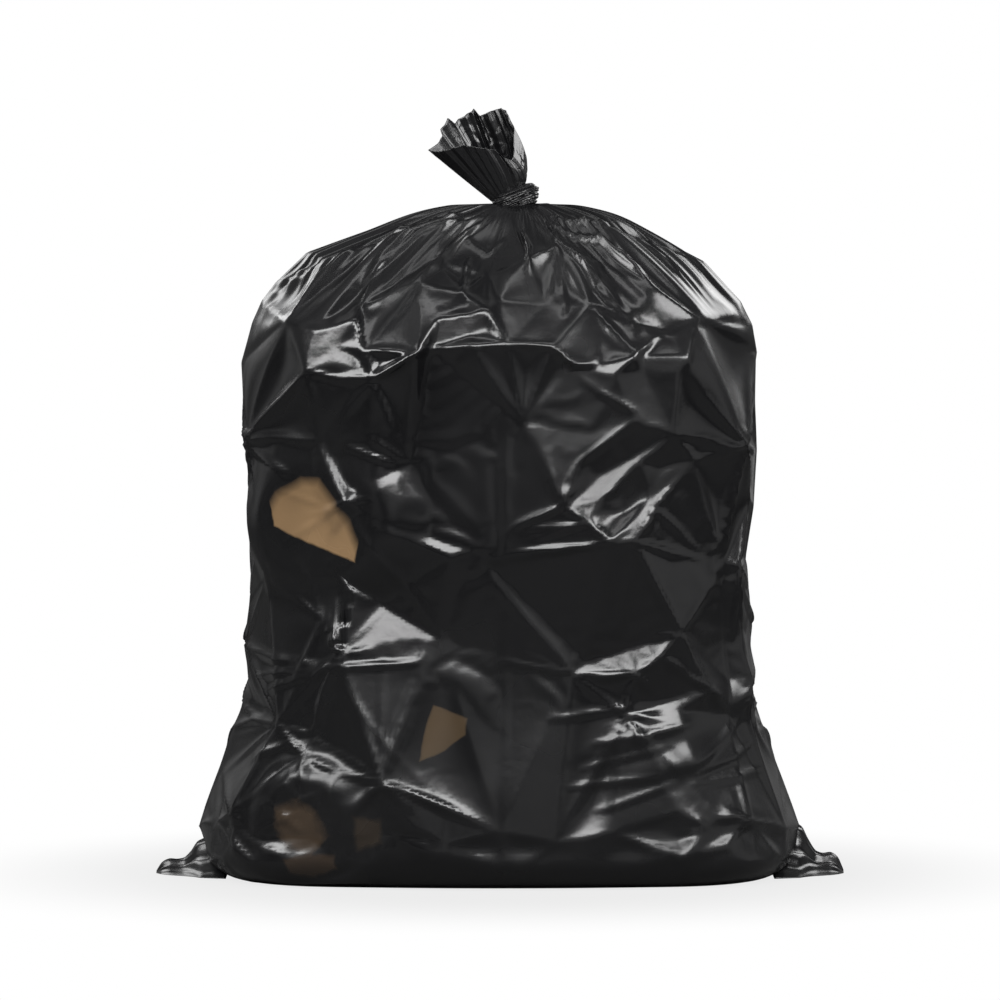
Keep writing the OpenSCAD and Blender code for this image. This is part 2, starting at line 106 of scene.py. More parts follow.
# The filled sack in millimetres and degrees, the same form as its solid in the frame
sack = {
    "shoulderWidth": 488, "shoulderDepth": 336, "shoulderHeight": 487,
    "waistWidth": 470, "waistDepth": 330, "waistHeight": 180,
    "baseWidth": 566, "baseDepth": 380, "baseHeight": 42, "baseTuck": 34,
    "neckHeight": 636, "neckRadius": 16, "neckShift": 14,
    "neckTip": 80,            # degrees by which the film turns up towards the neck
    "bodyPower": 2.5, "widePower": 1.85, "deepPower": 1.3,      # squareness of the section and of the top
    "corners": (212, 328), "cornerHalf": 15, "cornerRise": 13,  # drawn out to the two bottom corners
    "lump": 5.0, "sagRise": 11.0, "domeArc": 235,
    "around": 368, "footRings": 16, "bodyRings": 150, "domeRings": 84, "crowding": 5.0,
}


def share(v):
    return np.clip(v, 0.0, 1.0)


def ease(a, b, v):
    s = share(v)
    return a + (b - a) * s * s * (3 - 2 * s)


def sinD(a):
    return np.sin(np.radians(a))


def cosD(a):
    return np.cos(np.radians(a))


def domeShare(z):
    return share((z - sack["shoulderHeight"]) / (sack["neckHeight"] - sack["shoulderHeight"]))


def halfSize(z, base, waist, shoulder, power):
    foot = np.sqrt(1 - (1 - share(z / sack["baseHeight"])) ** 2)
    low = base - sack["baseTuck"] * (1 - foot)
    middle = ease(base, waist, (z - sack["baseHeight"]) / (sack["waistHeight"] - sack["baseHeight"]))
    high = ease(waist, shoulder, (z - sack["waistHeight"]) / (sack["shoulderHeight"] - sack["waistHeight"]))
    over = np.maximum(0, 1 - domeShare(z) ** power) ** (1 / power)
    dome = sack["neckRadius"] + (shoulder - sack["neckRadius"]) * over
    body = np.where(z < sack["waistHeight"], middle, high)
    return np.where(z < sack["baseHeight"], low, np.where(z < sack["shoulderHeight"], body, dome))


def halfWidth(z):
    sizes = (sack[part + "Width"] / 2 for part in ("base", "waist", "shoulder"))
    return halfSize(z, *sizes, sack["widePower"])


def halfDepth(z):
    sizes = (sack[part + "Depth"] / 2 for part in ("base", "waist", "shoulder"))
    return halfSize(z, *sizes, sack["deepPower"])


def sectionPower(z):
    return ease(sack["bodyPower"], 2, domeShare(z))


def axisX(z):
    return ease(0, sack["neckShift"], (domeShare(z) - 0.7) / 0.3)


def smoothPoint(t, z):
    t, z = np.asarray(t, float), np.asarray(z, float)
    p = sectionPower(z)
    r = ((np.abs(cosD(t)) / halfWidth(z)) ** p + (np.abs(sinD(t)) / halfDepth(z)) ** p) ** (-1 / p)
    return np.stack([axisX(z) + r * cosD(t), r * sinD(t), z + 0 * t], axis=-1)


def outward(t, z):
    point = smoothPoint(t, z)
    power = sectionPower(z) - 1
    x = (point[..., 0] - axisX(z)) / halfWidth(z)
    y = point[..., 1] / halfDepth(z)
    n = np.stack([np.sign(x) * np.abs(x) ** power / halfWidth(z),
                  np.sign(y) * np.abs(y) ** power / halfDepth(z), 0 * x], axis=-1)
    n /= np.linalg.norm(n, axis=-1, keepdims=True)
    tip = sack["neckTip"] * ease(0, 1, domeShare(z))
    n = n * cosD(tip)[..., None]
    n[..., 2] = sinD(tip)
    return n


# Lengths along the film: round the shoulders from the middle of the front, and up the side and over the top
turn = np.arange(90, 450.5, 0.5)
steps = np.linalg.norm(np.diff(smoothPoint(turn, sack["shoulderHeight"]), axis=0), axis=1)
walk = np.concatenate([[0], np.cumsum(steps)])
girth = walk[-1]
walk = walk - np.interp(270, turn, walk)


def alongFilm(t, z):
    across = np.interp((np.asarray(t, float) - 90) % 360 + 90, turn, walk)
    over = sack["domeArc"] * np.degrees(np.arcsin(domeShare(z))) / 90
    return np.stack([across, np.minimum(z, sack["shoulderHeight"]) + over], axis=-1)


def seen(px, py):
    # Angle and height of the smooth sack at a point of the photograph
    eye, ahead = sightLine(px, py)
    y = -sack["shoulderDepth"] / 2
    for step in range(40):
        point = eye + ahead * (y - eye[1]) / ahead[1]
        z = min(max(point[2], 0.0), sack["neckHeight"] - 1.0)
        aside = min(1.0, abs(point[0] - axisX(z)) / halfWidth(z))
        power = sectionPower(z)
        y = 0.5 * y - 0.5 * float(halfDepth(z) * (1 - aside ** power) ** (1 / power))
    return math.degrees(math.atan2(y, point[0] - axisX(z))) % 360, z


# Points where the filling pokes the film out, joined by taut flat facets: angle round the sack, height and
# share of the net's pin height
frontPins = [
    (234, 462, 1), (243, 387, 1), (291, 469, 1), (309, 414, 1), (272, 429, 0.5), (226, 350, 1),
    (262, 305, 0.15), (222, 201, 1), (252, 225, 0.3), (300, 311, 1), (338, 298, 0.5), (292, 194, 0.4),
    (322, 231, 0.4), (341, 409, 1),
    (315, 97, 0.1), (212, 155, 1), (216, 472, 1), (327, 491, 1), (195, 414, 1), (252, 493, 1),
    (310, 480, 1),
    (331, 177, 1), (238, 89, -0.4), (223, 298, 1), (314, 348, 1), (222, 64, 0.8), (204, 66, 0.5),
    (240, 36, 0.5), (332, 57, 0.3), (206, 30, 0.15),
]
backPins = [
    (25, 400, 1), (32, 300, 1), (30, 140, 1), (47, 470, 1), (55, 370, 1), (58, 220, 1), (84, 120, 1),
    (88, 430, 1), (97, 310, 1), (112, 200, 1), (122, 470, 1), (128, 370, 1), (146, 90, 1), (140, 280, 1),
    (152, 180, 1), (158, 450, 1), (162, 350, 1), (15, 300, 0.4), (42, 345, 0.7), (40, 250, 0.3),
    (20, 480, 0.8), (68, 300, 0.6), (70, 430, 0.2), (76, 350, 0.9), (80, 230, 0.5), (45, 90, 0.7),
    (70, 60, 0.3), (100, 160, 0.8), (106, 370, 0.4), (110, 440, 0.7), (120, 60, 0.5), (118, 260, 0.2),
    (128, 140, 0.6), (141, 425, 0.3), (148, 340, 0.8), (150, 240, 0.4), (165, 220, 0.7), (160, 60, 0.4),
    (135, 210, 0.7), (90, 480, 0.5), (145, 490, 0.6),
]
pins = frontPins + backPins
# Corners along the two sides and of the drapes behind: angle, height and how far each stands out
sides = [
    (180, 45, 3), (180, 66, 0), (180, 84, 0), (180, 103, 2), (180, 140, 8), (180, 161, 5),
    (180, 180, -2), (180, 220, 5), (180, 260, 1), (180, 307, -3), (180, 365, -6), (180, 407, -1),
    (180, 450, 0), (180, 486, 1), (180, 524, 0), (180, 543, 2), (180, 559, 2), (180, 585, 3),
    (0, 44, 2), (0, 66, -2), (0, 84, -2), (0, 105, 0), (0, 140, 4), (0, 161, 4),
    (0, 182, -9), (0, 217, 0), (0, 239, 3), (0, 273, -1), (0, 302, -5), (0, 350, 0),
    (0, 403, 1), (0, 450, -2), (0, 496, 0), (0, 521, 3), (0, 542, 4), (0, 577, 4),
]
backDrapes = [
    (15, 560, 4), (35, 540, -2), (55, 575, 5), (75, 540, 3), (95, 580, -2), (112, 545, 5),
    (130, 580, 4), (150, 540, -2), (165, 570, 5),
]
# The line across the chest where the filling ends and the film slopes back to the neck, in the photograph,
# and how far it stands out
chestLine = [(375, 379, 3), (418, 353, 8), (472, 345, 3), (508, 344, 5), (553, 346, 5), (572, 366, 8)]
# Corners of the drapes that hang from the knot, in the photograph, and how far each stands out, with a few
# corners between the bright facets
drapeCorners = [
    (292, 322, 2), (330, 268, 6), (364, 308, -1), (392, 246, 5), (420, 288, 6), (436, 258, -5),
    (447, 232, 4), (463, 296, 6), (488, 268, -4), (500, 300, 2), (528, 262, 6), (545, 300, -4), (556, 250, 4),
    (366, 350, 1), (318, 441, 3), (622, 512, -5), (664, 468, -5), (590, 300, -1), (608, 262, -4),
    (628, 316, -2), (650, 288, 6), (600, 232, 4), (668, 330, -2), (700, 318, -2),
]
# Facets that catch the light: corners in the photograph, the way each faces, and how far it stands out
facets = {
    "leftKite": ([(317, 330), (356, 318), (337, 346), (305, 371)], (-24, 15), 4),
    "crinkledShoulder": ([(431, 348), (440, 318), (488, 310), (470, 336)], (-4, 10), 2),
    "leftStar": ([(343, 503), (372, 481), (409, 466), (378, 492)], (-5, 11), 1),
    "banana": ([(373, 518), (421, 533), (473, 550), (448, 556), (421, 545), (387, 530)], (0, 19), 2),
    "leftPatch": ([(350, 582), (381, 603), (441, 639), (401, 641), (340, 654)], (-4, 19), 2),
    "leftNeedle": ([(294, 550), (316, 592), (338, 653), (322, 620)], (-27, 18), 2),
    "leftChip": ([(328, 561), (352, 587), (340, 588)], (-20, 18), 2),
    "lowerLeftBlade": ([(278, 724), (312, 737), (381, 781), (340, 772), (306, 754)], (-25, 18), 3),
    "rightWedge": ([(572, 367), (601, 365), (638, 355), (616, 374)], (4, 18), 3),
    "rightDull": ([(640, 357), (686, 357), (680, 369), (642, 370)], (14, 10), 2),
    "longBlade": ([(563, 506), (597, 476), (674, 434), (640, 462), (602, 500), (590, 523)], (6, 18), 3),
    "secondBlade": ([(610, 544), (650, 497), (693, 460), (655, 508), (635, 541)], (21, 18), 3),
    "crinkledGrey": ([(523, 424), (590, 432), (632, 420), (580, 452), (540, 446)], (4, 11), 1),
    "rightEdge": ([(724, 560), (750, 498), (740, 566)], (34, 18), 2),
    "upperSwoosh": ([(573, 674), (586, 662), (623, 651), (681, 633), (660, 656), (637, 673)], (7, 18), 3),
    "lowerSwoosh": ([(624, 715), (658, 704), (709, 690), (676, 710)], (21, 17), 3),
    "smallFoldA": ([(679, 812), (690, 802), (701, 799), (692, 808)], (24, 18), 2),
    "smallFoldB": ([(706, 826), (712, 819), (719, 817)], (26, 18), 2),
    "footSwoosh": ([(684, 858), (720, 836), (751, 821), (724, 846)], (26, 18), 3),
    "waistCatch": ([(723, 678), (740, 684), (742, 700), (725, 711)], (34, 18), 2),
    "leftEdge": ([(250, 482), (262, 500), (272, 522), (268, 572), (256, 540)], (-42, 8), 0),
}
# Fine ridges, by their points in the photograph: height and half width in millimetres
ridges = {
    "shoulderLine": ([(372, 379), (418, 353), (440, 348)], 2.4, 5),
    "packCrease": ([(506, 341), (505, 500), (506, 700), (505, 880)], 0.7, 3),
    "sideCrease": ([(637, 357), (636, 413)], 0.8, 3),
    "bustLine": ([(508, 344), (553, 346), (572, 366)], 1.6, 5),
    "starRayA": ([(370, 437), (408, 463)], 2.2, 5), "starRayB": ([(345, 446), (404, 467)], 2.2, 5),
    "edgeRayA": ([(247, 432), (318, 441)], 2.4, 6), "edgeRayB": ([(249, 441), (293, 475)], 2.2, 6),
    "longLine": ([(345, 508), (417, 600), (443, 640)], 2.0, 5),
    "hubRayA": ([(330, 666), (250, 645)], 2.4, 6), "hubRayB": ([(330, 668), (257, 676)], 2.4, 6),
    "hubRayC": ([(330, 670), (263, 694)], 2.2, 6), "hubRayD": ([(330, 668), (418, 663)], 2.6, 5),
    "hubRayE": ([(332, 672), (422, 784)], 1.1, 5), "hubRayF": ([(332, 674), (377, 776)], 1.1, 5),
    "kneeRayA": ([(598, 391), (636, 413)], 2.2, 5),
    "kneeRayB": ([(635, 421), (582, 460), (569, 481)], 2.4, 5),
    "capRay": ([(687, 367), (695, 334)], 2.0, 5),
    "fanA": ([(570, 788), (664, 776)], 1.8, 5), "fanB": ([(582, 770), (670, 743)], 1.8, 5),
    "fanC": ([(549, 719), (640, 706)], 1.8, 6), "fanD": ([(600, 812), (680, 780)], 1.6, 5),
    "fanE": ([(590, 745), (690, 722)], 1.8, 5), "fanF": ([(690, 776), (752, 740)], 2.0, 6),
    "fanG": ([(686, 770), (740, 712)], 2.0, 6), "fanH": ([(690, 784), (766, 768)], 1.8, 6),
    "flapFoldA": ([(282, 488), (334, 512)], 1.2, 4), "flapFoldB": ([(284, 489), (280, 520)], 1.2, 4),
    "wadFoldA": ([(287, 780), (299, 803), (318, 792)], 2.4, 6),
    "wadFoldB": ([(268, 800), (300, 832)], 2.6, 6),
    "wadFoldC": ([(317, 800), (328, 850)], 2.6, 6), "wadFoldD": ([(262, 830), (296, 812)], 2.4, 6),
    "wadFoldE": ([(330, 668), (296, 780)], 2.0, 6),
    "chipFold": ([(352, 815), (372, 790), (402, 786)], 2.0, 5),
    "trayFold": ([(240, 828), (253, 843), (290, 856)], 2.6, 6), "lowRay": ([(250, 760), (290, 742)], 2.2, 6),
    "cornerFoldA": ([(230, 862), (269, 891)], 2.6, 6), "cornerFoldB": ([(214, 800), (262, 862)], 2.6, 7),
}
net = {
    "pinHeight": 7.0,         # how far the filling pokes the film out
    "flatness": 0.6,          # 1 stretches flat facets between the pins, 0 keeps the rounded form
    "drapeFlatness": 0.9,     # the same for the drapes under the knot
    "sink": 5.0,              # how far the middle of a slack facet sinks in or swells out
    "sinkSize": 90,           # mm, size of a facet that sinks in fully
    "pinGap": 24,             # mm kept free round a pin
    "ringStep": 15,           # degrees between the points of a ring
    "footRing": 14, "topRing": 628,           # rings that end the net at the foot and on the rounded top
    "frontRing": 50, "frontRise": -4,         # the front of the foot keeps its bulge
    "footFade": (16, 26), "topFade": (630, 45),        # where the net begins, and over what length
    "wrap": 260,              # mm of the net repeated past the back seam
}


def flatIn(points, normal, middle):
    # Points of the photograph, each laid in one plane
    placed = []
    for px, py in points:
        eye, ahead = sightLine(px, py)
        placed.append(eye + ahead * np.dot(middle - eye, normal) / np.dot(ahead, normal))
    return placed


def facing(azimuth, elevation):
    return np.array([sinD(azimuth) * cosD(elevation), -cosD(azimuth) * cosD(elevation), sinD(elevation)])


def lumpsAt(t, z):
    return sack["lump"] * (0.8 * sinD(2 * t + 20) * sinD(0.9 * z) + 0.6 * sinD(3 * t + 0.7 * z + 90)
                           + 0.4 * sinD(5 * t - 1.1 * z))


def netPoints():
    # Corners of the net: place along the film, place in space, flatness, and the edges that it must have
    spots, places, flats, edges = [], [], [], []

    def add(t, z, place, flat):
        spots.append(alongFilm(t, z))
        places.append(place)
        flats.append(flat)

    def addPin(t, z, height, flat=net["flatness"]):
        place = smoothPoint(t, z) + outward(t, z) * (height + lumpsAt(t, z))
        add(t, z, place, flat)

    for corners, faces, lift in facets.values():
        seenAt = [seen(px, py) for px, py in corners]
        raised = [smoothPoint(t, z) + outward(t, z) * (lift + lumpsAt(t, z)) for t, z in seenAt]
        middle = np.mean(raised, axis=0)
        first = len(spots)
        for (t, z), place in zip(seenAt, flatIn(corners, facing(*faces), middle)):
            add(t, z, place, 1.0)
        count = len(seenAt)
        edges += [(first + i, first + (i + 1) % count) for i in range(count)]
    for px, py, height in chestLine:
        addPin(*seen(px, py), height, net["drapeFlatness"])
    for t, z, height in sides:
        add(t, z, smoothPoint(t, z) + outward(t, z) * height, 1.0)
    for px, py, height in drapeCorners:
        addPin(*seen(px, py), height, net["drapeFlatness"])
    for t, z, height in backDrapes:
        addPin(t, z, height)
    for t in range(0, 360, net["ringStep"]):
        addPin(t + 3 * sinD(7 * t), net["footRing"], 0)
        addPin(t + 4 * sinD(5 * t), net["topRing"], 0)
    for t in range(195, 350, net["ringStep"]):
        z = net["frontRing"]
        addPin(t, z + 5 * sinD(11 * t), net["frontRise"] - lumpsAt(t, z))
    for t, z, part in pins:
        if min(np.linalg.norm(alongFilm(t, z) - spot) for spot in spots) > net["pinGap"]:
            addPin(t, z, net["pinHeight"] * part)
    return np.array(spots), np.array(places), np.array(flats), edges


def tautFilm(t, z):
    # The net is drawn in the unrolled film, and each point of the film is mixed from its three corners
    spots, places, flats, edges = netPoints()
    home = np.arange(len(spots))
    left = spots[:, 0] < -girth / 2 + net["wrap"]
    right = spots[:, 0] > girth / 2 - net["wrap"]
    flat2 = np.concatenate([spots, spots[left] + [girth, 0], spots[right] - [girth, 0]])
    home = np.concatenate([home, home[left], home[right]])
    result = delaunay_2d_cdt([Vector(p) for p in flat2], edges, [], 0, 0.01)
    verts, faces, origins = result[0], result[2], result[3]
    corner = np.array([home[o[0]] if o else -1 for o in origins])
    film = alongFilm(t, z)
    shape = film.shape[:-1]
    film = film.reshape(-1, 2)
    base = smoothPoint(t, z).reshape(-1, 3)
    out = outward(t, z).reshape(-1, 3)
    rise = np.einsum("ij,ij->i", places - smoothOf(spots), outOf(spots))
    planar = base.copy()
    height = np.zeros(len(film))
    flatness = np.zeros(len(film))
    bubble = np.zeros(len(film))
    done = np.zeros(len(film), bool)
    for face in faces:
        index = corner[list(face)]
        if (index < 0).any():
            continue
        a, b, c = (np.array(verts[i]) for i in face)
        low, high = np.minimum(np.minimum(a, b), c) - 0.01, np.maximum(np.maximum(a, b), c) + 0.01
        near = np.nonzero(((film >= low) & (film <= high)).all(axis=1) & ~done)[0]
        if not len(near):
            continue
        area = (b[0] - a[0]) * (c[1] - a[1]) - (c[0] - a[0]) * (b[1] - a[1])
        if abs(area) < 1e-6:
            continue
        d = film[near] - a
        wb = (d[:, 0] * (c[1] - a[1]) - (c[0] - a[0]) * d[:, 1]) / area
        wc = ((b[0] - a[0]) * d[:, 1] - d[:, 0] * (b[1] - a[1])) / area
        weights = np.stack([1 - wb - wc, wb, wc], axis=1)
        within = (weights > -1e-4).all(axis=1)
        near, weights = near[within], weights[within]
        planar[near] = weights @ places[index]
        height[near] = weights @ rise[index]
        flatness[near] = weights @ flats[index]
        middle = (a + b + c) / 3
        sink = net["sink"] * (0.35 + sinD(360 * 11 * middle[0] / girth + 2.3 * middle[1]))
        sink = 0.0 if flats[index].min() == 1 else sink * min(1.0, math.sqrt(abs(area)) / net["sinkSize"])
        bubble[near] = 27 * weights.prod(axis=1) * sink       # the product is 1/27 in the middle of a facet
        done[near] = True
    rounded = base + out * height[:, None]
    mixed = rounded + (planar - rounded) * flatness[:, None] - out * bubble[:, None]
    (low, lowReach), (high, highReach) = net["footFade"], net["topFade"]
    fade = ease(0, 1, (film[:, 1] - low) / lowReach) * ease(1, 0, (film[:, 1] - high) / highReach)
    mixed = base + (mixed - base) * (fade * done)[:, None]
    return mixed.reshape(*shape, 3), strainLines(faces, corner, spots, rise)


def strainLines(faces, corner, spots, rise):
    # Both ways along each side of the net's facets, from the points that stand out
    pairs = set()
    for face in faces:
        index = [int(corner[i]) for i in face]
        if min(index) < 0:
            continue
        pairs |= {(a, b) for a in index for b in index if a != b}
    lines = []
    for a, b in sorted(pairs):
        length = np.linalg.norm(apart(spots[b].copy(), spots[a]))
        low, high = sorted((spots[a][1], spots[b][1]))
        onBody = low > strain["lowest"] and high < sack["shoulderHeight"] + strain["overShoulder"]
        if rise[a] > strain["fromRise"] and strain["shortest"] < length < strain["longest"] and onBody:
            lines.append((spots[a], spots[b]))
    return lines


# Back from the lengths along the film to the angle and height on the smooth sack
def angleOf(across):
    return np.interp(across, walk, turn)


def heightOf(up):
    over = share((up - sack["shoulderHeight"]) / sack["domeArc"])
    rise = sack["neckHeight"] - sack["shoulderHeight"]
    return np.where(up > sack["shoulderHeight"], sack["shoulderHeight"] + rise * sinD(90 * over), up)


def smoothOf(spots):
    return smoothPoint(angleOf(spots[:, 0]), heightOf(spots[:, 1]))


def outOf(spots):
    return outward(angleOf(spots[:, 0]), heightOf(spots[:, 1]))


def apart(a, b):
    d = a - b
    d[..., 0] = (d[..., 0] + girth / 2) % girth - girth / 2
    return d


def filmLine(points):
    return [alongFilm(*seen(*point)) for point in points]


def ridgeLine(film, points, rise, half):
    # A ridge along a line of the film, high in its middle and thin at its ends
    best = np.zeros(film.shape[:-1])
    lengths = [0.0]
    for a, b in zip(points, points[1:]):
        lengths.append(lengths[-1] + np.linalg.norm(apart(b, a)))
    for i, (a, b) in enumerate(zip(points, points[1:])):
        line = apart(b, a)
        d = apart(film, a)
        s = share((d @ line) / (line @ line))
        gap = np.linalg.norm(d - s[..., None] * line, axis=-1)
        whole = (lengths[i] + s * (lengths[i + 1] - lengths[i])) / lengths[-1]
        taper = np.sqrt(np.maximum(0, 1 - (2 * whole - 1) ** 2)) * 0.8 + 0.2
        best = np.maximum(best, rise * taper * np.maximum(0, 1 - gap / (half * (0.5 + 0.5 * taper))) ** 1.3)
    return best


# Pleats drawn up to the neck; the folds down the front are lines in the photograph, with rise and half width
pleatFolds = {
    "frontDrapes": [
        ([(480, 222), (447, 252), (414, 290)], 6, 8), ([(520, 226), (526, 248), (529, 274)], 5, 7),
        ([(540, 228), (582, 262), (612, 300)], 5, 8), ([(468, 250), (463, 298)], 4, 7),
        ([(556, 250), (565, 312)], 4, 7), ([(470, 230), (484, 246), (502, 232)], 3, 5),
        ([(470, 222), (420, 240), (360, 285)], 4, 6), ([(462, 218), (400, 232), (330, 275)], 4, 6),
        ([(545, 222), (600, 240), (660, 285)], 4, 6), ([(550, 218), (620, 232), (690, 275)], 4, 6),
        ([(475, 226), (440, 262), (398, 318)], 3, 6), ([(548, 232), (600, 275), (640, 330)], 3, 6),
    ],
    "coarse": 30, "fine": 100,       # ridges round the neck
    "coarseRise": 6.5, "fineRise": 3.4,
    "frontHalf": 50, "coarseOffFront": 0.8, "coarseOffSide": 0.6, "fineOffFront": 0.95,
    "seed": 3,
}


def tents(t, count, random):
    # Ridges round the neck of uneven height and spacing, with shallow valleys
    edge = np.sort((np.arange(count) + random.uniform(-0.3, 0.3, count)) * 360 / count)
    rise = random.uniform(0.35, 1.0, count)
    following = np.roll(edge, -1) + np.where(np.arange(count) == count - 1, 360, 0)
    knots = np.concatenate([edge, (edge + following) / 2])
    value = np.concatenate([rise, random.uniform(-0.5, 0.05, count)])
    order = np.argsort(knots % 360)
    return np.interp(t % 360, (knots % 360)[order], value[order], period=360)


def pleatsAt(t, z, film):
    random = np.random.default_rng(pleatFolds["seed"])
    s = np.degrees(np.arcsin(domeShare(z))) / 90
    front = np.exp(-(((t - 270 + 180) % 360 - 180) / pleatFolds["frontHalf"]) ** 4)
    coarse = tents(t + 5 * sinD(2 * t) * (1 - s), pleatFolds["coarse"], random)
    fine = tents(t, pleatFolds["fine"], random)
    swell = ease(0, 1, (s - 0.05) / 0.3) * ease(1, 0.25, (s - 0.62) / 0.38)
    near = ease(0, 1, (s - 0.15) / 0.4) * ease(1, 0.35, (s - 0.85) / 0.15)
    side = np.abs(cosD(t)) ** 4
    total = pleatFolds["coarseRise"] * coarse * swell * (1 - pleatFolds["coarseOffFront"] * front)
    total *= 1 - pleatFolds["coarseOffSide"] * side
    off = pleatFolds["fineOffFront"] * front * ease(1, 0, (s - 0.6) / 0.3)
    total += pleatFolds["fineRise"] * fine * near * (1 - off)
    for points, rise, half in pleatFolds["frontDrapes"]:
        total += ridgeLine(film, filmLine(points), rise, half)
    return total


# Slack rolls of film over the waist: angle, height, slope, half length, height of the roll, share of the rise
rolls = [
    (346, 178, 4, 60, 36, 1.1), (186, 175, -4, 46, 34, 0.7), (313, 145, 14, 55, 24, 0.6),
    (320, 118, 10, 50, 22, 0.6), (250, 38, -6, 70, 26, 0.4), (82, 150, 6, 70, 40, 0.8),
    (125, 150, -8, 60, 36, 0.7), (20, 170, 10, 50, 34, 0.8),
]


def rollsAt(t, z):
    total = np.zeros(np.broadcast(t, z).shape)
    film = alongFilm(t, z)
    for angle, height, slope, half, tall, part in rolls:
        d = apart(film, alongFilm(angle, height))
        along = (d[..., 0] * cosD(slope) + d[..., 1] * sinD(slope)) / half
        across = (d[..., 1] * cosD(slope) - d[..., 0] * sinD(slope)) / tall
        across = np.where(across < 0, 2.2 * across, across)      # steeper below than above
        total += sack["sagRise"] * part * np.exp(-along ** 2 - across ** 2)
    return total


# Straight wrinkles that run from the poked points towards their neighbours, where the film is strained
strain = {
    "perEnd": 2, "spread": 9, "share": (0.4, 1.0), "rise": (0.8, 2.8), "half": (2.8, 5.2),
    "shortest": 25, "longest": 150, "fromRise": 2, "lowest": 40, "overShoulder": 15,
    "onBright": 0.25,         # share of them left on the facets that catch the light
    "seed": 11,
}


def strainAt(film, lines):
    random = np.random.default_rng(strain["seed"])
    total = np.zeros(film.shape[:-1])
    acrossAll, upAll = film[0, :, 0], film[:, 0, 1]
    for start, end in lines:
        way = apart(end.copy(), start)
        for k in range(strain["perEnd"]):
            turnBy = random.uniform(-strain["spread"], strain["spread"])
            reach = np.linalg.norm(way) * random.uniform(*strain["share"])
            rise, half = random.uniform(*strain["rise"]), random.uniform(*strain["half"])
            angle = math.degrees(math.atan2(way[1], way[0])) + turnBy
            aside = (acrossAll - start[0] + girth / 2) % girth - girth / 2
            columns = np.nonzero(np.abs(aside) < reach + half)[0]
            rows = np.nonzero(np.abs(upAll - start[1]) < reach + half)[0]
            if not len(rows) or not len(columns):
                continue
            d = apart(film[np.ix_(rows, columns)], start)
            along = (d[..., 0] * cosD(angle) + d[..., 1] * sinD(angle)) / reach
            across = np.abs(d[..., 1] * cosD(angle) - d[..., 0] * sinD(angle))
            width = half * (0.3 + np.minimum(1, 2 * np.abs(along)))
            body = np.sqrt(np.clip(along, 0, 1)) * np.clip(1 - along, 0, 1) * 2.2
            total[np.ix_(rows, columns)] += rise * body * np.maximum(0, 1 - across / width)
    return total


# The scraps of board inside: angle round the sack, height, half width and half height of their outline
scraps = {
    "carton_flap": (217, 341, 48, 40), "carton_strip": (253, 148, 22, 26),
    "kraft_paper_wad": (221, 63, 27, 24), "carton_tray_corner": (223, 27, 25, 19),
    "carton_chip": (236, 58, 14, 16),
}
over = {"press": 4, "proud": 0.6, "clear": 1.0, "paperClear": 2.6, "border": 10, "blend": 0.9, "reach": 60}


def scrapFrame(name):
    angle, height = scraps[name][:2]
    n = outward(angle, height)
    return smoothPoint(angle, height) - over["press"] * n, n, np.array([-n[1], n[0], 0])


def besideScrap(point, name):
    # Distance in front of the scrap, and distance from its middle as a share of its outline
    wide, tall = scraps[name][2:]
    middle, n, aside = scrapFrame(name)
    d = point - middle
    across, up = (d @ aside) / (wide + over["border"]), d[..., 2] / (tall + over["border"])
    return d @ n, np.sqrt(across ** 2 + up ** 2)


def overScraps(point):
    # The film lies just over the scraps of board that it presses on
    for name in scraps:
        before, beside = besideScrap(point, name)
        clear = over["proud"] + over["paperClear" if name == "kraft_paper_wad" else "clear"]
        weight = ease(1, 0, (beside - 1) / over["blend"]) * (np.abs(before) < over["reach"])
        weight = weight * share((point[..., 2] - 1) / 6)
        lift = np.maximum(0, clear - before)
        point = point + (weight * lift)[..., None] * scrapFrame(name)[1]
    return point


def ringHeights():
    foot = sack["baseHeight"] * (1 - cosD(90 * np.arange(sack["footRings"]) / sack["footRings"]))
    body = np.linspace(sack["baseHeight"], sack["shoulderHeight"], sack["bodyRings"], endpoint=False)
    rise = sinD(90 * np.arange(sack["domeRings"] + 1) / sack["domeRings"])
    top = sack["shoulderHeight"] + (sack["neckHeight"] - sack["shoulderHeight"]) * rise
    return np.concatenate([foot, body, top])


def filmPoints():
    q = np.arange(sack["around"]) * 360 / sack["around"]
    z, q = np.meshgrid(ringHeights(), q, indexing="ij")
    t = q - sack["crowding"] * sinD(2 * q)
    film = alongFilm(t, z)
    point, lines = tautFilm(t, z)
    relief = pleatsAt(t, z, film) * ease(1, 0.4, (domeShare(z) - 0.97) / 0.03)
    relief = relief + rollsAt(t, z) * ease(0, 1, z / 30)
    for corner in sack["corners"]:
        swell = np.exp(-((t - corner) / sack["cornerHalf"]) ** 2)
        relief = relief + sack["cornerRise"] * swell * ease(1, 0, (z - 12) / 50)
    point = overScraps(point + outward(t, z) * relief[..., None])
    lines = strainAt(film, lines) * ease(0, 1, z / 30)
    for corners, faces, lift in facets.values():
        lines[inside(film, np.array(filmLine(corners)))] *= strain["onBright"]
    for points, rise, half in ridges.values():
        lines = lines + ridgeLine(film, filmLine(points), rise, half)
    point = point + outward(t, z) * lines[..., None]
    point[0, :, 2] = 0
    point[..., 2] = np.maximum(point[..., 2], 0)
    return point


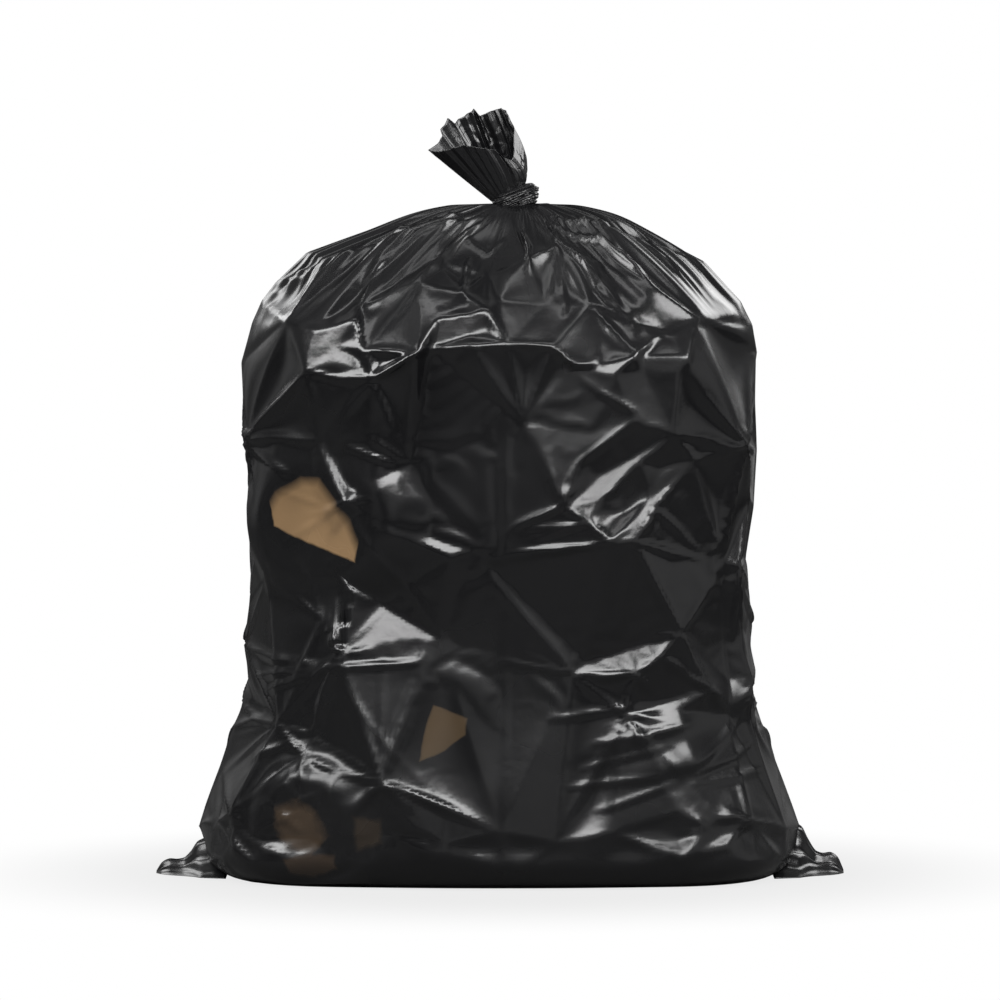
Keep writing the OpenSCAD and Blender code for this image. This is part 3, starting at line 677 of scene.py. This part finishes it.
def loftPiece(name, points):
    # A closed skin over rings of points
    rows, columns = points.shape[:2]
    bpy.ops.mesh.primitive_grid_add(x_subdivisions=columns, y_subdivisions=rows - 1, size=1)
    piece = bpy.context.object
    piece.name = name
    wrapped = np.concatenate([points, points[:, :1]], axis=1)
    piece.data.vertices.foreach_set("co", (wrapped * mm).ravel())
    piece.data.update()
    bpy.ops.object.mode_set(mode="EDIT")
    bpy.ops.mesh.select_all(action="SELECT")
    bpy.ops.mesh.remove_doubles(threshold=1e-6)
    bpy.ops.mesh.normals_make_consistent(inside=False)
    bpy.ops.object.mode_set(mode="OBJECT")
    bpy.ops.object.shade_smooth()
    piece.select_set(False)
    return piece


def closeRings(points, low, high, count=8):
    # Rings that close both ends to a point
    inward = np.linspace(0, 1, count + 1)[1:, None, None]
    first = points[:1] + (low - points[:1]) * inward
    last = points[-1:] + (high - points[-1:]) * inward
    return np.concatenate([first[::-1], points, last])


# The film is longer than the way between its poked points, so it settles into wrinkles
slackFilm = {
    "frames": 10, "extra": 0.003, "tension": 30, "bending": 5.0, "hold": 0.14, "holdBright": 0.8,
    "holdSmooth": 0.5, "holdScrap": 0.6, "mass": 0.25, "cap": 9.0, "shear": 0.6, "quality": 5, "levels": 20,
}
# Where the film hangs smooth, in the photograph: middle, half width, half height in pixels
smoothZone = {"middle": (540, 800), "half": (110, 90)}


def inside(film, outline):
    # Which points of the film lie within an outline
    within = np.zeros(film.shape[:-1], bool)
    for a, b in zip(outline, np.roll(outline, -1, axis=0)):
        crosses = (a[1] > film[..., 1]) != (b[1] > film[..., 1])
        at = a[0] + (film[..., 1] - a[1]) * (b[0] - a[0]) / (b[1] - a[1] if b[1] != a[1] else 1e-9)
        within ^= crosses & (film[..., 0] < at)
    return within


def holdAt(film, point):
    # How firmly each point of the film is held while it settles
    hold = np.full(film.shape[:-1], slackFilm["hold"])
    for corners, faces, lift in facets.values():
        hold[inside(film, np.array(filmLine(corners)))] = slackFilm["holdBright"]
    calm = apart(film, alongFilm(*seen(*smoothZone["middle"]))) / smoothZone["half"]
    hold = np.maximum(hold, slackFilm["holdSmooth"] * ease(1, 0, np.linalg.norm(calm, axis=-1) - 0.5))
    for t, z, part in pins:
        gap = np.linalg.norm(apart(film, alongFilm(t, z)), axis=-1)
        hold = np.maximum(hold, ease(1, 0, (gap - 3) / 9))
    for name in scraps:
        before, beside = besideScrap(point, name)
        near = ease(1, 0, (beside - 0.8) / 0.5) * (np.abs(before) < over["reach"])
        hold = np.maximum(hold, slackFilm["holdScrap"] * near)
    hold = np.maximum(hold, ease(1, 0, (point[..., 2] - 3) / 12))
    return np.maximum(hold, ease(0, 1, (domeShare(point[..., 2]) - 0.75) / 0.2))


def vertexPlaces(mesh):
    places = np.empty(len(mesh.vertices) * 3, np.float32)
    mesh.vertices.foreach_get("co", places)
    return places.reshape(-1, 3)


def settleFilm(piece, hold):
    # A short cloth simulation, whose result is kept as the mesh
    before = vertexPlaces(piece.data)
    group = piece.vertex_groups.new(name="held")
    for level in range(1, slackFilm["levels"] + 1):
        chosen = np.nonzero(np.round(hold * slackFilm["levels"]) == level)[0]
        if len(chosen):
            group.add(chosen.tolist(), level / slackFilm["levels"], "REPLACE")
    bpy.context.view_layer.objects.active = piece
    cloth = piece.modifiers.new("settle", "CLOTH")
    values = {
        "quality": slackFilm["quality"], "mass": slackFilm["mass"],
        "tension_stiffness": slackFilm["tension"], "compression_stiffness": slackFilm["tension"],
        "shear_stiffness": slackFilm["tension"] * slackFilm["shear"],
        "bending_stiffness": slackFilm["bending"], "shrink_min": -slackFilm["extra"],
        "vertex_group_mass": "held", "pin_stiffness": 1.0,
    }
    for name, value in values.items():
        setattr(cloth.settings, name, value)
    cloth.settings.effector_weights.gravity = 0
    cloth.collision_settings.use_collision = False
    cloth.collision_settings.use_self_collision = False
    cloth.point_cache.frame_start, cloth.point_cache.frame_end = 1, slackFilm["frames"]
    for frameNumber in range(1, slackFilm["frames"] + 1):
        bpy.context.scene.frame_set(frameNumber)
    settled = piece.evaluated_get(bpy.context.evaluated_depsgraph_get())
    move = vertexPlaces(settled.data) - before
    piece.modifiers.remove(cloth)
    size = np.linalg.norm(move, axis=1, keepdims=True)
    print("film moved", float(size.mean() / mm), float(size.max() / mm))
    move *= np.minimum(1, slackFilm["cap"] * mm / np.maximum(size, 1e-9))
    piece.data.vertices.foreach_set("co", (before + move).ravel())
    piece.data.update()
    bpy.context.scene.frame_set(1)


def makeFilm():
    points = filmPoints()
    top = np.array([sack["neckShift"], 0, sack["neckHeight"] + 3.0])
    points = closeRings(points, np.array([0.0, 0.0, 0.0]), top)
    piece = loftPiece("sackFilm", points)
    place = vertexPlaces(piece.data) / mm
    turned = np.degrees(np.arctan2(place[:, 1], place[:, 0] - axisX(place[:, 2]))) % 360
    settleFilm(piece, holdAt(alongFilm(turned, place[:, 2]), place))
    return piece


# The gathered neck is wound into a knot, and its free end stands up from it as an open, crumpled fan
knotForm = {
    "middle": (14.5, -5, 640), "slant": 22, "radius": 19.5, "flat": 0.9, "strand": 3.4,
    "turns": 3.6, "height": 22, "ridges": 2, "ridgeRise": 0.9, "creaseRise": 0.8, "taper": (0.16, 0.42),
    # Where it bulges: angle, share of the height, rise, and the squares of the half width and half height
    "lobes": [(0, 0.25, 3.4, 1500, 0.3), (215, -0.6, 2.2, 1100, 0.16)],
    "around": 220, "up": 130,
}


def tentWave(v):
    return np.abs((v % 1.0) - 0.5) * 2


def crumple(u, v, size, count, seed):
    # Sheets folded along straight lines at odd angles: the highest of several folds shows
    random = np.random.default_rng(seed)
    total = -1
    for k in range(count):
        angle, scale = random.uniform(0, 360), size * random.uniform(0.8, 2.2)
        bend = 0.2 * sinD((u * sinD(angle) + v * cosD(angle)) * 360 / (scale * 3.1) + random.uniform(0, 360))
        fold = tentWave((u * cosD(angle) + v * sinD(angle)) / scale + bend + random.uniform(0, 1))
        total = np.maximum(total, scale / size * (fold - 0.5))
    return total - 0.5


def makeKnot():
    angle, high = np.meshgrid(np.arange(knotForm["around"]) * 360 / knotForm["around"],
                              np.linspace(-1, 1, knotForm["up"]))
    barrel = knotForm["radius"] * (1 - knotForm["taper"][0] * high ** 2 - knotForm["taper"][1] * high ** 8)
    phase = (high * knotForm["turns"] / 2 + angle / 360
             + 0.05 * sinD(angle * 2 + 40) + 0.04 * sinD(angle * 3 + high * 200))
    # The upper side of each strand slopes back
    strand = 0.55 * (1 - phase % 1.0) + 0.45 * np.abs(np.sin(np.pi * phase)) ** 0.8
    fine = np.abs(np.cos(np.pi * phase * knotForm["ridges"] + 0.6 * sinD(angle * 2 + 90 * high)))
    radius = barrel + knotForm["strand"] * (strand - 0.35) + knotForm["ridgeRise"] * fine
    for at, up, rise, wide, tall in knotForm["lobes"]:
        radius += rise * np.exp(-((angle - at + 180) % 360 - 180) ** 2 / wide - (high - up) ** 2 / tall)
    radius += knotForm["creaseRise"] * crumple(angle * 0.35, high * 16, 7, 5, 21)
    x, y = radius * cosD(angle), knotForm["flat"] * radius * sinD(angle)
    z = high * knotForm["height"] / 2 * (1 + 0.06 * cosD(angle * 2))
    slant = knotForm["slant"]
    turned = np.stack([x * cosD(slant) - z * sinD(slant), y, x * sinD(slant) + z * cosD(slant)], axis=-1)
    ends = [turned[0].mean(axis=0), turned[-1].mean(axis=0)]
    points = closeRings(turned, *ends, count=4)
    return loftPiece("knot", points + np.array(knotForm["middle"], float))


# Rim of the free end, by its points in the photograph: turn round the fan and how far back it stands
tailRim = [
    (0, (513, 131), 0), (22, (507, 114), 3), (42, (501, 108), 6), (66, (491, 111), 8), (84, (480, 116), 9),
    (98, (474, 109), 9), (120, (463, 117), 8), (138, (454, 124), 6), (152, (448, 118), 5),
    (166, (442, 130), 3), (178, (440, 143), 1), (190, (428, 150), -1), (208, (438, 152), -8),
    (226, (450, 149), -14), (244, (463, 145), -18), (270, (482, 148), -21), (296, (495, 150), -19),
    (318, (504, 158), -15), (338, (512, 160), -8), (350, (515, 148), -4),
]
tailForm = {
    "root": (508, 200), "rootRadius": 11, "bulge": 9, "wall": 0.9, "around": 300, "outside": 84, "inside": 60,
    "innerStart": 0.34, "innerRough": 1.15, "pleats": 22, "pleatRise": 1.8, "finerRise": 0.4,
    "behind": 1.1,            # share by which the pleats stand higher behind than in front
    "rough": (0.3, 1.6),      # mm, creases in front and behind
    "seed": 5,
}


def makeTail():
    angle = np.arange(tailForm["around"]) * 360 / tailForm["around"]
    turns = [row[0] for row in tailRim]
    rim = np.array([picturePlace(*row[1], row[2]) for row in tailRim])
    edge = np.stack([np.interp(angle, turns, rim[:, k], period=360) for k in range(3)], axis=-1)
    root = picturePlace(*tailForm["root"], 0)
    ring = np.stack([cosD(angle), 0.9 * sinD(angle), 0.5 * cosD(angle)], axis=-1)
    base = root + tailForm["rootRadius"] * ring
    random = np.random.default_rng(tailForm["seed"])
    pleat = tents(angle, tailForm["pleats"], random)
    finer = tents(angle, 3 * tailForm["pleats"], random)

    def wallAt(s, inset, rough):
        s = s[:, None]
        place = base + (edge - base) * (s ** 0.94)[..., None]
        right = np.maximum(0, cosD(angle)) ** 0.7
        place[..., 0] += tailForm["bulge"] * right * np.sin(np.pi * s ** 0.9)
        middle = place.mean(axis=1, keepdims=True)
        out = place - middle
        out[..., 2] *= 0.2
        out[..., 1] *= 1.8
        out /= np.linalg.norm(out, axis=-1, keepdims=True) + 1e-9
        swell = np.minimum(1, 3 * s) * (0.55 + 0.45 * s)
        rise = tailForm["pleatRise"] * pleat * swell * (1 + tailForm["behind"] * (1 - front))
        rise += tailForm["finerRise"] * finer * swell
        rise += rough * crumple(angle * 0.62 + 0 * s, s * 60 + 0 * angle, 22, 5, 31) * np.minimum(1, 1.6 * s)
        rise -= inset
        return place + out * rise[..., None]

    front = 0.5 - 0.5 * sinD(angle)
    smooth, creased = tailForm["rough"]
    rough = smooth + (creased - smooth) * (1 - front)
    outer = wallAt(np.linspace(0, 1, tailForm["outside"]), 0.0, rough)
    down = np.linspace(1, tailForm["innerStart"], tailForm["inside"])
    inner = wallAt(down, tailForm["wall"], rough * tailForm["innerRough"])
    points = np.concatenate([outer, inner])
    return loftPiece("tail", closeRings(points, base.mean(axis=0), inner[-1].mean(axis=0), count=5))


# The two bottom corners: stations along each give its reach, height and half depth as shares
ears = {
    "root": 283, "reach": 44, "halfDepth": 58,
    "stations": [(-0.55, 1.3, 1.1), (-0.2, 1.2, 1.0), (0, 1.06, 0.95), (0.12, 0.98, 0.8),
                 (0.24, 0.72, 0.7), (0.38, 0.46, 0.62), (0.55, 0.4, 0.54), (0.72, 0.44, 0.45),
                 (0.88, 0.34, 0.3), (1.0, 0.06, 0.1)],
    "section": [(-1, 0), (-0.8, 0.16), (-0.5, 0.44), (-0.3, 0.52), (-0.16, 0.86), (0, 1),
                (0.12, 0.82), (0.3, 0.7), (0.55, 0.44), (0.8, 0.2), (1, 0)],
    "right": 44, "left": 30,         # mm, height of each
    "folds": 9, "foldRise": 3.0, "seeds": {1: 41, -1: 43}, "softenAlong": 14, "softenAcross": 3,
}


def makeEar(name, side, tall):
    stations, section = np.array(ears["stations"]), np.array(ears["section"])
    s = np.linspace(0, len(stations) - 1, 90)[:, None]
    w = np.linspace(0, len(section) - 1, 96)[None, :]
    reach, height, depth = (np.interp(s, np.arange(len(stations)), stations[:, k]) for k in range(3))
    aside, up = (np.interp(w, np.arange(len(section)), section[:, k]) for k in range(2))
    x = ears["root"] + reach * ears["reach"] + 0 * aside
    y = aside * depth * ears["halfDepth"]
    z = up * height * tall
    random = np.random.default_rng(ears["seeds"][side])
    slant = 0.05 * sinD(40 * s + 25)
    fold = tents(360 * (w / (len(section) - 1) + slant), ears["folds"], random) * np.minimum(1, z / 8)
    z = np.maximum(0, z + ears["foldRise"] * fold)
    top = np.stack([side * x, y, z], axis=-1)
    for step in range(ears["softenAlong"]):
        top[1:-1] = (top[:-2] + 2 * top[1:-1] + top[2:]) / 4
    for step in range(ears["softenAcross"]):
        top[:, 1:-1] = (top[:, :-2] + 2 * top[:, 1:-1] + top[:, 2:]) / 4
    floor = top[:, ::-8].copy()
    floor[..., 2] = 0
    points = np.concatenate([top, floor], axis=1)
    ends = [points[0].mean(axis=0), points[-1].mean(axis=0)]
    return loftPiece(name, closeRings(points, *ends, count=3))


addCamera()
print("camera set")
film = makeFilm()
print("film made", len(film.data.vertices))
knot = makeKnot()
tail = makeTail()
rightEar = makeEar("rightEar", 1, ears["right"])
leftEar = makeEar("leftEar", -1, ears["left"])
print("knot, tail and ears made")


def newMaterial(name):
    material = bpy.data.materials.new(name)
    material.use_nodes = True
    return material, material.node_tree, material.node_tree.nodes["Principled BSDF"]


def feed(tree, node, inputs):
    # Each input gets a value, or a link from the output of another node
    for key, value in inputs.items():
        if isinstance(value, bpy.types.NodeSocket):
            tree.links.new(value, node.inputs[key])
        else:
            node.inputs[key].default_value = value


def addNode(tree, kind, inputs={}, **settings):
    node = tree.nodes.new("ShaderNode" + kind)
    for name, value in settings.items():
        setattr(node, name, value)
    feed(tree, node, inputs)
    return node


def calc(tree, operation, a, b, **settings):
    return addNode(tree, "Math", {0: a, 1: b}, operation=operation, **settings).outputs[0]


def mapRange(tree, value, given, wanted, **settings):
    ends = {"From Min": given[0], "From Max": given[1], "To Min": wanted[0], "To Max": wanted[1]}
    return addNode(tree, "MapRange", {"Value": value, **ends}, **settings).outputs["Result"]


def addNoise(tree, place, scale, detail):
    return addNode(tree, "TexNoise", {"Vector": place, "Scale": scale, "Detail": detail}).outputs


# The boards behind the film, painted into its colour in place of light that passes through it: outline on
# each board in millimetres, from part.scad, the colour painted for it and how much of it reaches the eye, how
# soft and ragged its edge is, and how steep the edge is at the top
paintedBoardLooks = {
    "carton_flap": {
        "outline": [(-48, 14), (-41, 25), (-14, 38), (6, 38), (22, 21), (34, 7), (47, -22), (44, -40),
                    (-20, -14), (-44, -6)],
        "shade": (0.25, 0.158, 0.08), "part": 0.95, "soft": 2.4, "ragged": 3, "blurTop": 0.22},
    "carton_strip": {
        "outline": [(-9, 25), (22, 13), (20, -2), (1, -17), (-21, -26), (-17, 2)],
        "shade": (0.075, 0.05, 0.027), "part": 0.9, "soft": 2.5, "ragged": 3, "blurTop": 1},
    "kraft_paper_wad": {
        "outline": [(-24, 17), (-2, 24), (16, 15), (27, -8), (9, -21), (-14, -17), (-26, 0)],
        "shade": (0.055, 0.037, 0.023), "part": 0.85, "soft": 6.0, "ragged": 14, "blurTop": 0.6},
    "carton_tray_corner": {
        "outline": [(-25, 3), (-3, 10), (23, 7), (25, -4), (3, -13), (-19, -10)],
        "shade": (0.04, 0.027, 0.018), "part": 0.85, "soft": 4.0, "ragged": 6, "blurTop": 1},
    "carton_chip": {
        "outline": [(-12, 14), (12, 10), (14, -10), (-8, -16)],
        "shade": (0.026, 0.019, 0.013), "part": 0.8, "soft": 6.0, "ragged": 8, "blurTop": 1},
}
patchSides = 10
patchDepth = 40      # mm behind the board where its patch ends


def patchGroup():
    # How far a point lies inside all the sides, as a share of the soft edge
    # The mask of a board painted into the film's colour, standing in for light that passes through the film
    tree = bpy.data.node_groups.new("paintedBoardMask", "ShaderNodeTree")
    sockets = [("Place", "Vector"), ("Soft", "Float")]
    for k in range(patchSides + 1):
        sockets += [(f"Side {k}", "Vector"), (f"Offset {k}", "Float")]
    for name, kind in sockets:
        tree.interface.new_socket(name, in_out="INPUT", socket_type="NodeSocket" + kind)
    tree.interface.new_socket("Mask", in_out="OUTPUT", socket_type="NodeSocketFloat")
    given, result = tree.nodes.new("NodeGroupInput").outputs, tree.nodes.new("NodeGroupOutput")
    for k in range(patchSides + 1):
        ways = {0: given["Place"], 1: given[f"Side {k}"]}
        along = addNode(tree, "VectorMath", ways, operation="DOT_PRODUCT").outputs["Value"]
        gap = calc(tree, "SUBTRACT", along, given[f"Offset {k}"])
        least = gap if k == 0 else calc(tree, "MINIMUM", least, gap)
    edge = calc(tree, "DIVIDE", least, given["Soft"])
    feed(tree, result, {"Mask": calc(tree, "ADD", edge, 0.5, use_clamp=True)})
    return tree


def setPatch(node, name):
    middle, n, aside = scrapFrame(name)
    outline = paintedBoardLooks[name]["outline"]
    centre = np.mean(outline, axis=0)
    sides = [(n, middle @ n - patchDepth)]
    for a, b in zip(outline, outline[1:] + outline[:1]):
        away = np.array([a[1] - b[1], b[0] - a[0]]) / math.dist(a, b)
        away = away if (centre - a) @ away > 0 else -away
        side = away[0] * aside + np.array([0, 0, away[1]])
        crisp = paintedBoardLooks[name]["blurTop"] if away[1] < -0.2 else 1
        sides.append((side * crisp, (middle @ side + np.dot(a, away)) * crisp))
    for k in range(patchSides + 1):
        side, offset = sides[k] if k < len(sides) else sides[0]
        node.inputs[f"Side {k}"].default_value = side
        node.inputs[f"Offset {k}"].default_value = offset * mm
    node.inputs["Soft"].default_value = paintedBoardLooks[name]["soft"] * mm


filmLook = {
    "black": (0.0045, 0.0045, 0.005), "roughness": (0.16, 0.3), "bend": 1.5,
    "wrinkle": 55, "wrinkleRise": 1.2, "wrinkleStrength": 0.3,
    "haze": 9,                # the film is duller in some places than in others
    # The boards painted into the film show more in some places than in others, and their edges are broken up
    "ragged": 70, "showsPart": (0.55, 1.0),      # it blurs and breaks up what lies behind it
}


def filmMaterial():
    material, tree, skin = newMaterial("glossyBlackFilm")
    place = addNode(tree, "TexCoord").outputs["Object"]
    wrinkle = addNoise(tree, place, filmLook["wrinkle"], 3)
    bump = addNode(tree, "Bump", {"Height": wrinkle["Fac"], "Strength": filmLook["wrinkleStrength"],
                                  "Distance": filmLook["wrinkleRise"] * mm})
    haze = addNoise(tree, place, filmLook["haze"], 2)
    dull = mapRange(tree, haze["Fac"], (0.35, 0.65), filmLook["roughness"])
    uneven = mapRange(tree, haze["Fac"], (0.3, 0.62), filmLook["showsPart"])
    ragged = addNoise(tree, place, filmLook["ragged"], 2)
    group = patchGroup()
    colour = (*filmLook["black"], 1)
    # Each board behind is painted into the film's base colour, standing in for light that passes through the
    # film
    for name, patch in paintedBoardLooks.items():
        moves = {0: ragged["Color"], 1: [patch["ragged"] * mm] * 3, 2: place}
        shift = addNode(tree, "VectorMath", moves, operation="MULTIPLY_ADD")
        shows = addNode(tree, "Group", {"Place": shift.outputs[0]}, node_tree=group)
        setPatch(shows, name)
        part = calc(tree, "MULTIPLY", calc(tree, "MULTIPLY", shows.outputs["Mask"], patch["part"]), uneven)
        shades = {"Factor": part, "A": colour, "B": (*patch["shade"], 1)}
        colour = addNode(tree, "Mix", shades, data_type="RGBA").outputs["Result"]
    feed(tree, skin, {"IOR": filmLook["bend"], "Normal": bump.outputs["Normal"], "Roughness": dull,
                      "Base Color": colour})
    return material


blackFilm = filmMaterial()
for piece in (film, knot, tail, rightEar, leftEar):
    piece.data.materials.append(blackFilm)
    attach(piece, "root")
    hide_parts("sack")

# The colour of each board, and the fibres that all of them have
boards = {
    "carton_flap": (0.33, 0.21, 0.11), "carton_strip": (0.3, 0.19, 0.1),
    "kraft_paper_wad": (0.24, 0.15, 0.08), "carton_tray_corner": (0.28, 0.18, 0.1),
    "carton_chip": (0.26, 0.17, 0.09),
}
boardLook = {"fibres": 260, "tones": (0.8, 1.15), "strength": 0.3, "rise": 0.2, "roughness": 0.85}


def boardMaterial(name, colour):
    material, tree, skin = newMaterial(name + "Brown")
    place = addNode(tree, "TexCoord").outputs["Object"]
    fibres = addNoise(tree, place, boardLook["fibres"], 4)["Fac"]
    dark, light = ((*(tone * v for v in colour), 1) for tone in boardLook["tones"])
    blend = addNode(tree, "Mix", {"Factor": fibres, "A": dark, "B": light}, data_type="RGBA")
    bump = addNode(tree, "Bump", {"Height": fibres, "Strength": boardLook["strength"],
                                  "Distance": boardLook["rise"] * mm})
    feed(tree, skin, {"Roughness": boardLook["roughness"], "Base Color": blend.outputs["Result"],
                      "Normal": bump.outputs["Normal"]})
    return material


for name, colour in boards.items():
    brown = boardMaterial(name, colour)
    for slot in frame["nodes"][name].material_slots:
        slot.material = brown
print("materials made")

# The plain studio: six soft lamps, pale surroundings and a pale floor
studio = {
    "lamps": {   # azimuth and elevation it shines from, width, height, distance in metres, watts
        "front": (0, 35, 1.5, 0.65, 2.3, 38),
        "left": (-55, 36, 1.2, 0.65, 2.3, 30),
        "right": (55, 36, 1.2, 0.65, 2.3, 30),
        "rimLeft": (-140, 28, 1.0, 0.8, 2.3, 9),
        "rimRight": (140, 28, 1.0, 0.8, 2.3, 9),
        "top": (0, 76, 1.6, 0.25, 2.0, 4.5),
    },
    "aim": 0.34,                # metres, the height that the lamps shine at
    "room": (0.08, 0.5),        # the unlit room is uneven, as the film's reflections show
    "roomScale": 1.7,
    "floorSize": 12, "floorShade": 0.13,
    "floorGlow": (0.8, 1.0),    # what the camera sees of it, under the sack and from some way off
    "floorFade": (0.25, 0.6),   # metres
}


def addLamp(name, azimuth, elevation, width, height, distance, watts):
    toward = Vector(facing(azimuth, elevation))
    bpy.ops.object.light_add(type="AREA", location=Vector((0, 0, studio["aim"])) + toward * distance)
    lamp = bpy.context.object
    lamp.name = name + "Lamp"
    lamp.rotation_euler = (-toward).to_track_quat("-Z", "Y").to_euler()
    lamp.data.shape = "RECTANGLE"
    lamp.data.size = width
    lamp.data.size_y = height
    lamp.data.energy = watts


for name, values in studio["lamps"].items():
    addLamp(name, *values)


def makeWorld():
    world = bpy.data.worlds.new("paleStudio")
    bpy.context.scene.world = world
    world.use_nodes = True
    tree = world.node_tree
    way = addNode(tree, "TexCoord").outputs["Generated"]
    noise = addNoise(tree, way, studio["roomScale"], 1)
    room = mapRange(tree, noise["Fac"], (0.35, 0.68), studio["room"])
    toCamera = addNode(tree, "LightPath").outputs["Is Camera Ray"]
    level = addNode(tree, "Mix", {"Factor": toCamera, "A": room, "B": 1.0})
    feed(tree, tree.nodes["Background"], {"Color": (1, 1, 1, 1), "Strength": level.outputs["Result"]})


def makeFloor():
    bpy.ops.mesh.primitive_plane_add(size=studio["floorSize"], location=(0, 0, -0.5 * mm))
    floor = bpy.context.object
    floor.name = "paleFloor"
    material, tree, skin = newMaterial("paleFloor")
    tree.nodes.remove(skin)
    matte = addNode(tree, "BsdfDiffuse", {"Color": (*[studio["floorShade"]] * 3, 1)})
    glow = addNode(tree, "Emission")
    place = addNode(tree, "TexCoord").outputs["Object"]
    reach = addNode(tree, "VectorMath", {0: place}, operation="LENGTH").outputs["Value"]
    fade = mapRange(tree, reach, studio["floorFade"], studio["floorGlow"], interpolation_type="SMOOTHSTEP")
    toCamera = addNode(tree, "LightPath").outputs["Is Camera Ray"]
    part = calc(tree, "MULTIPLY", toCamera, fade)
    mix = addNode(tree, "MixShader", {0: part, 1: matte.outputs[0], 2: glow.outputs[0]})
    feed(tree, tree.nodes["Material Output"], {"Surface": mix.outputs[0]})
    floor.data.materials.append(material)


makeWorld()
makeFloor()
bpy.context.scene.view_settings.view_transform = "Standard"
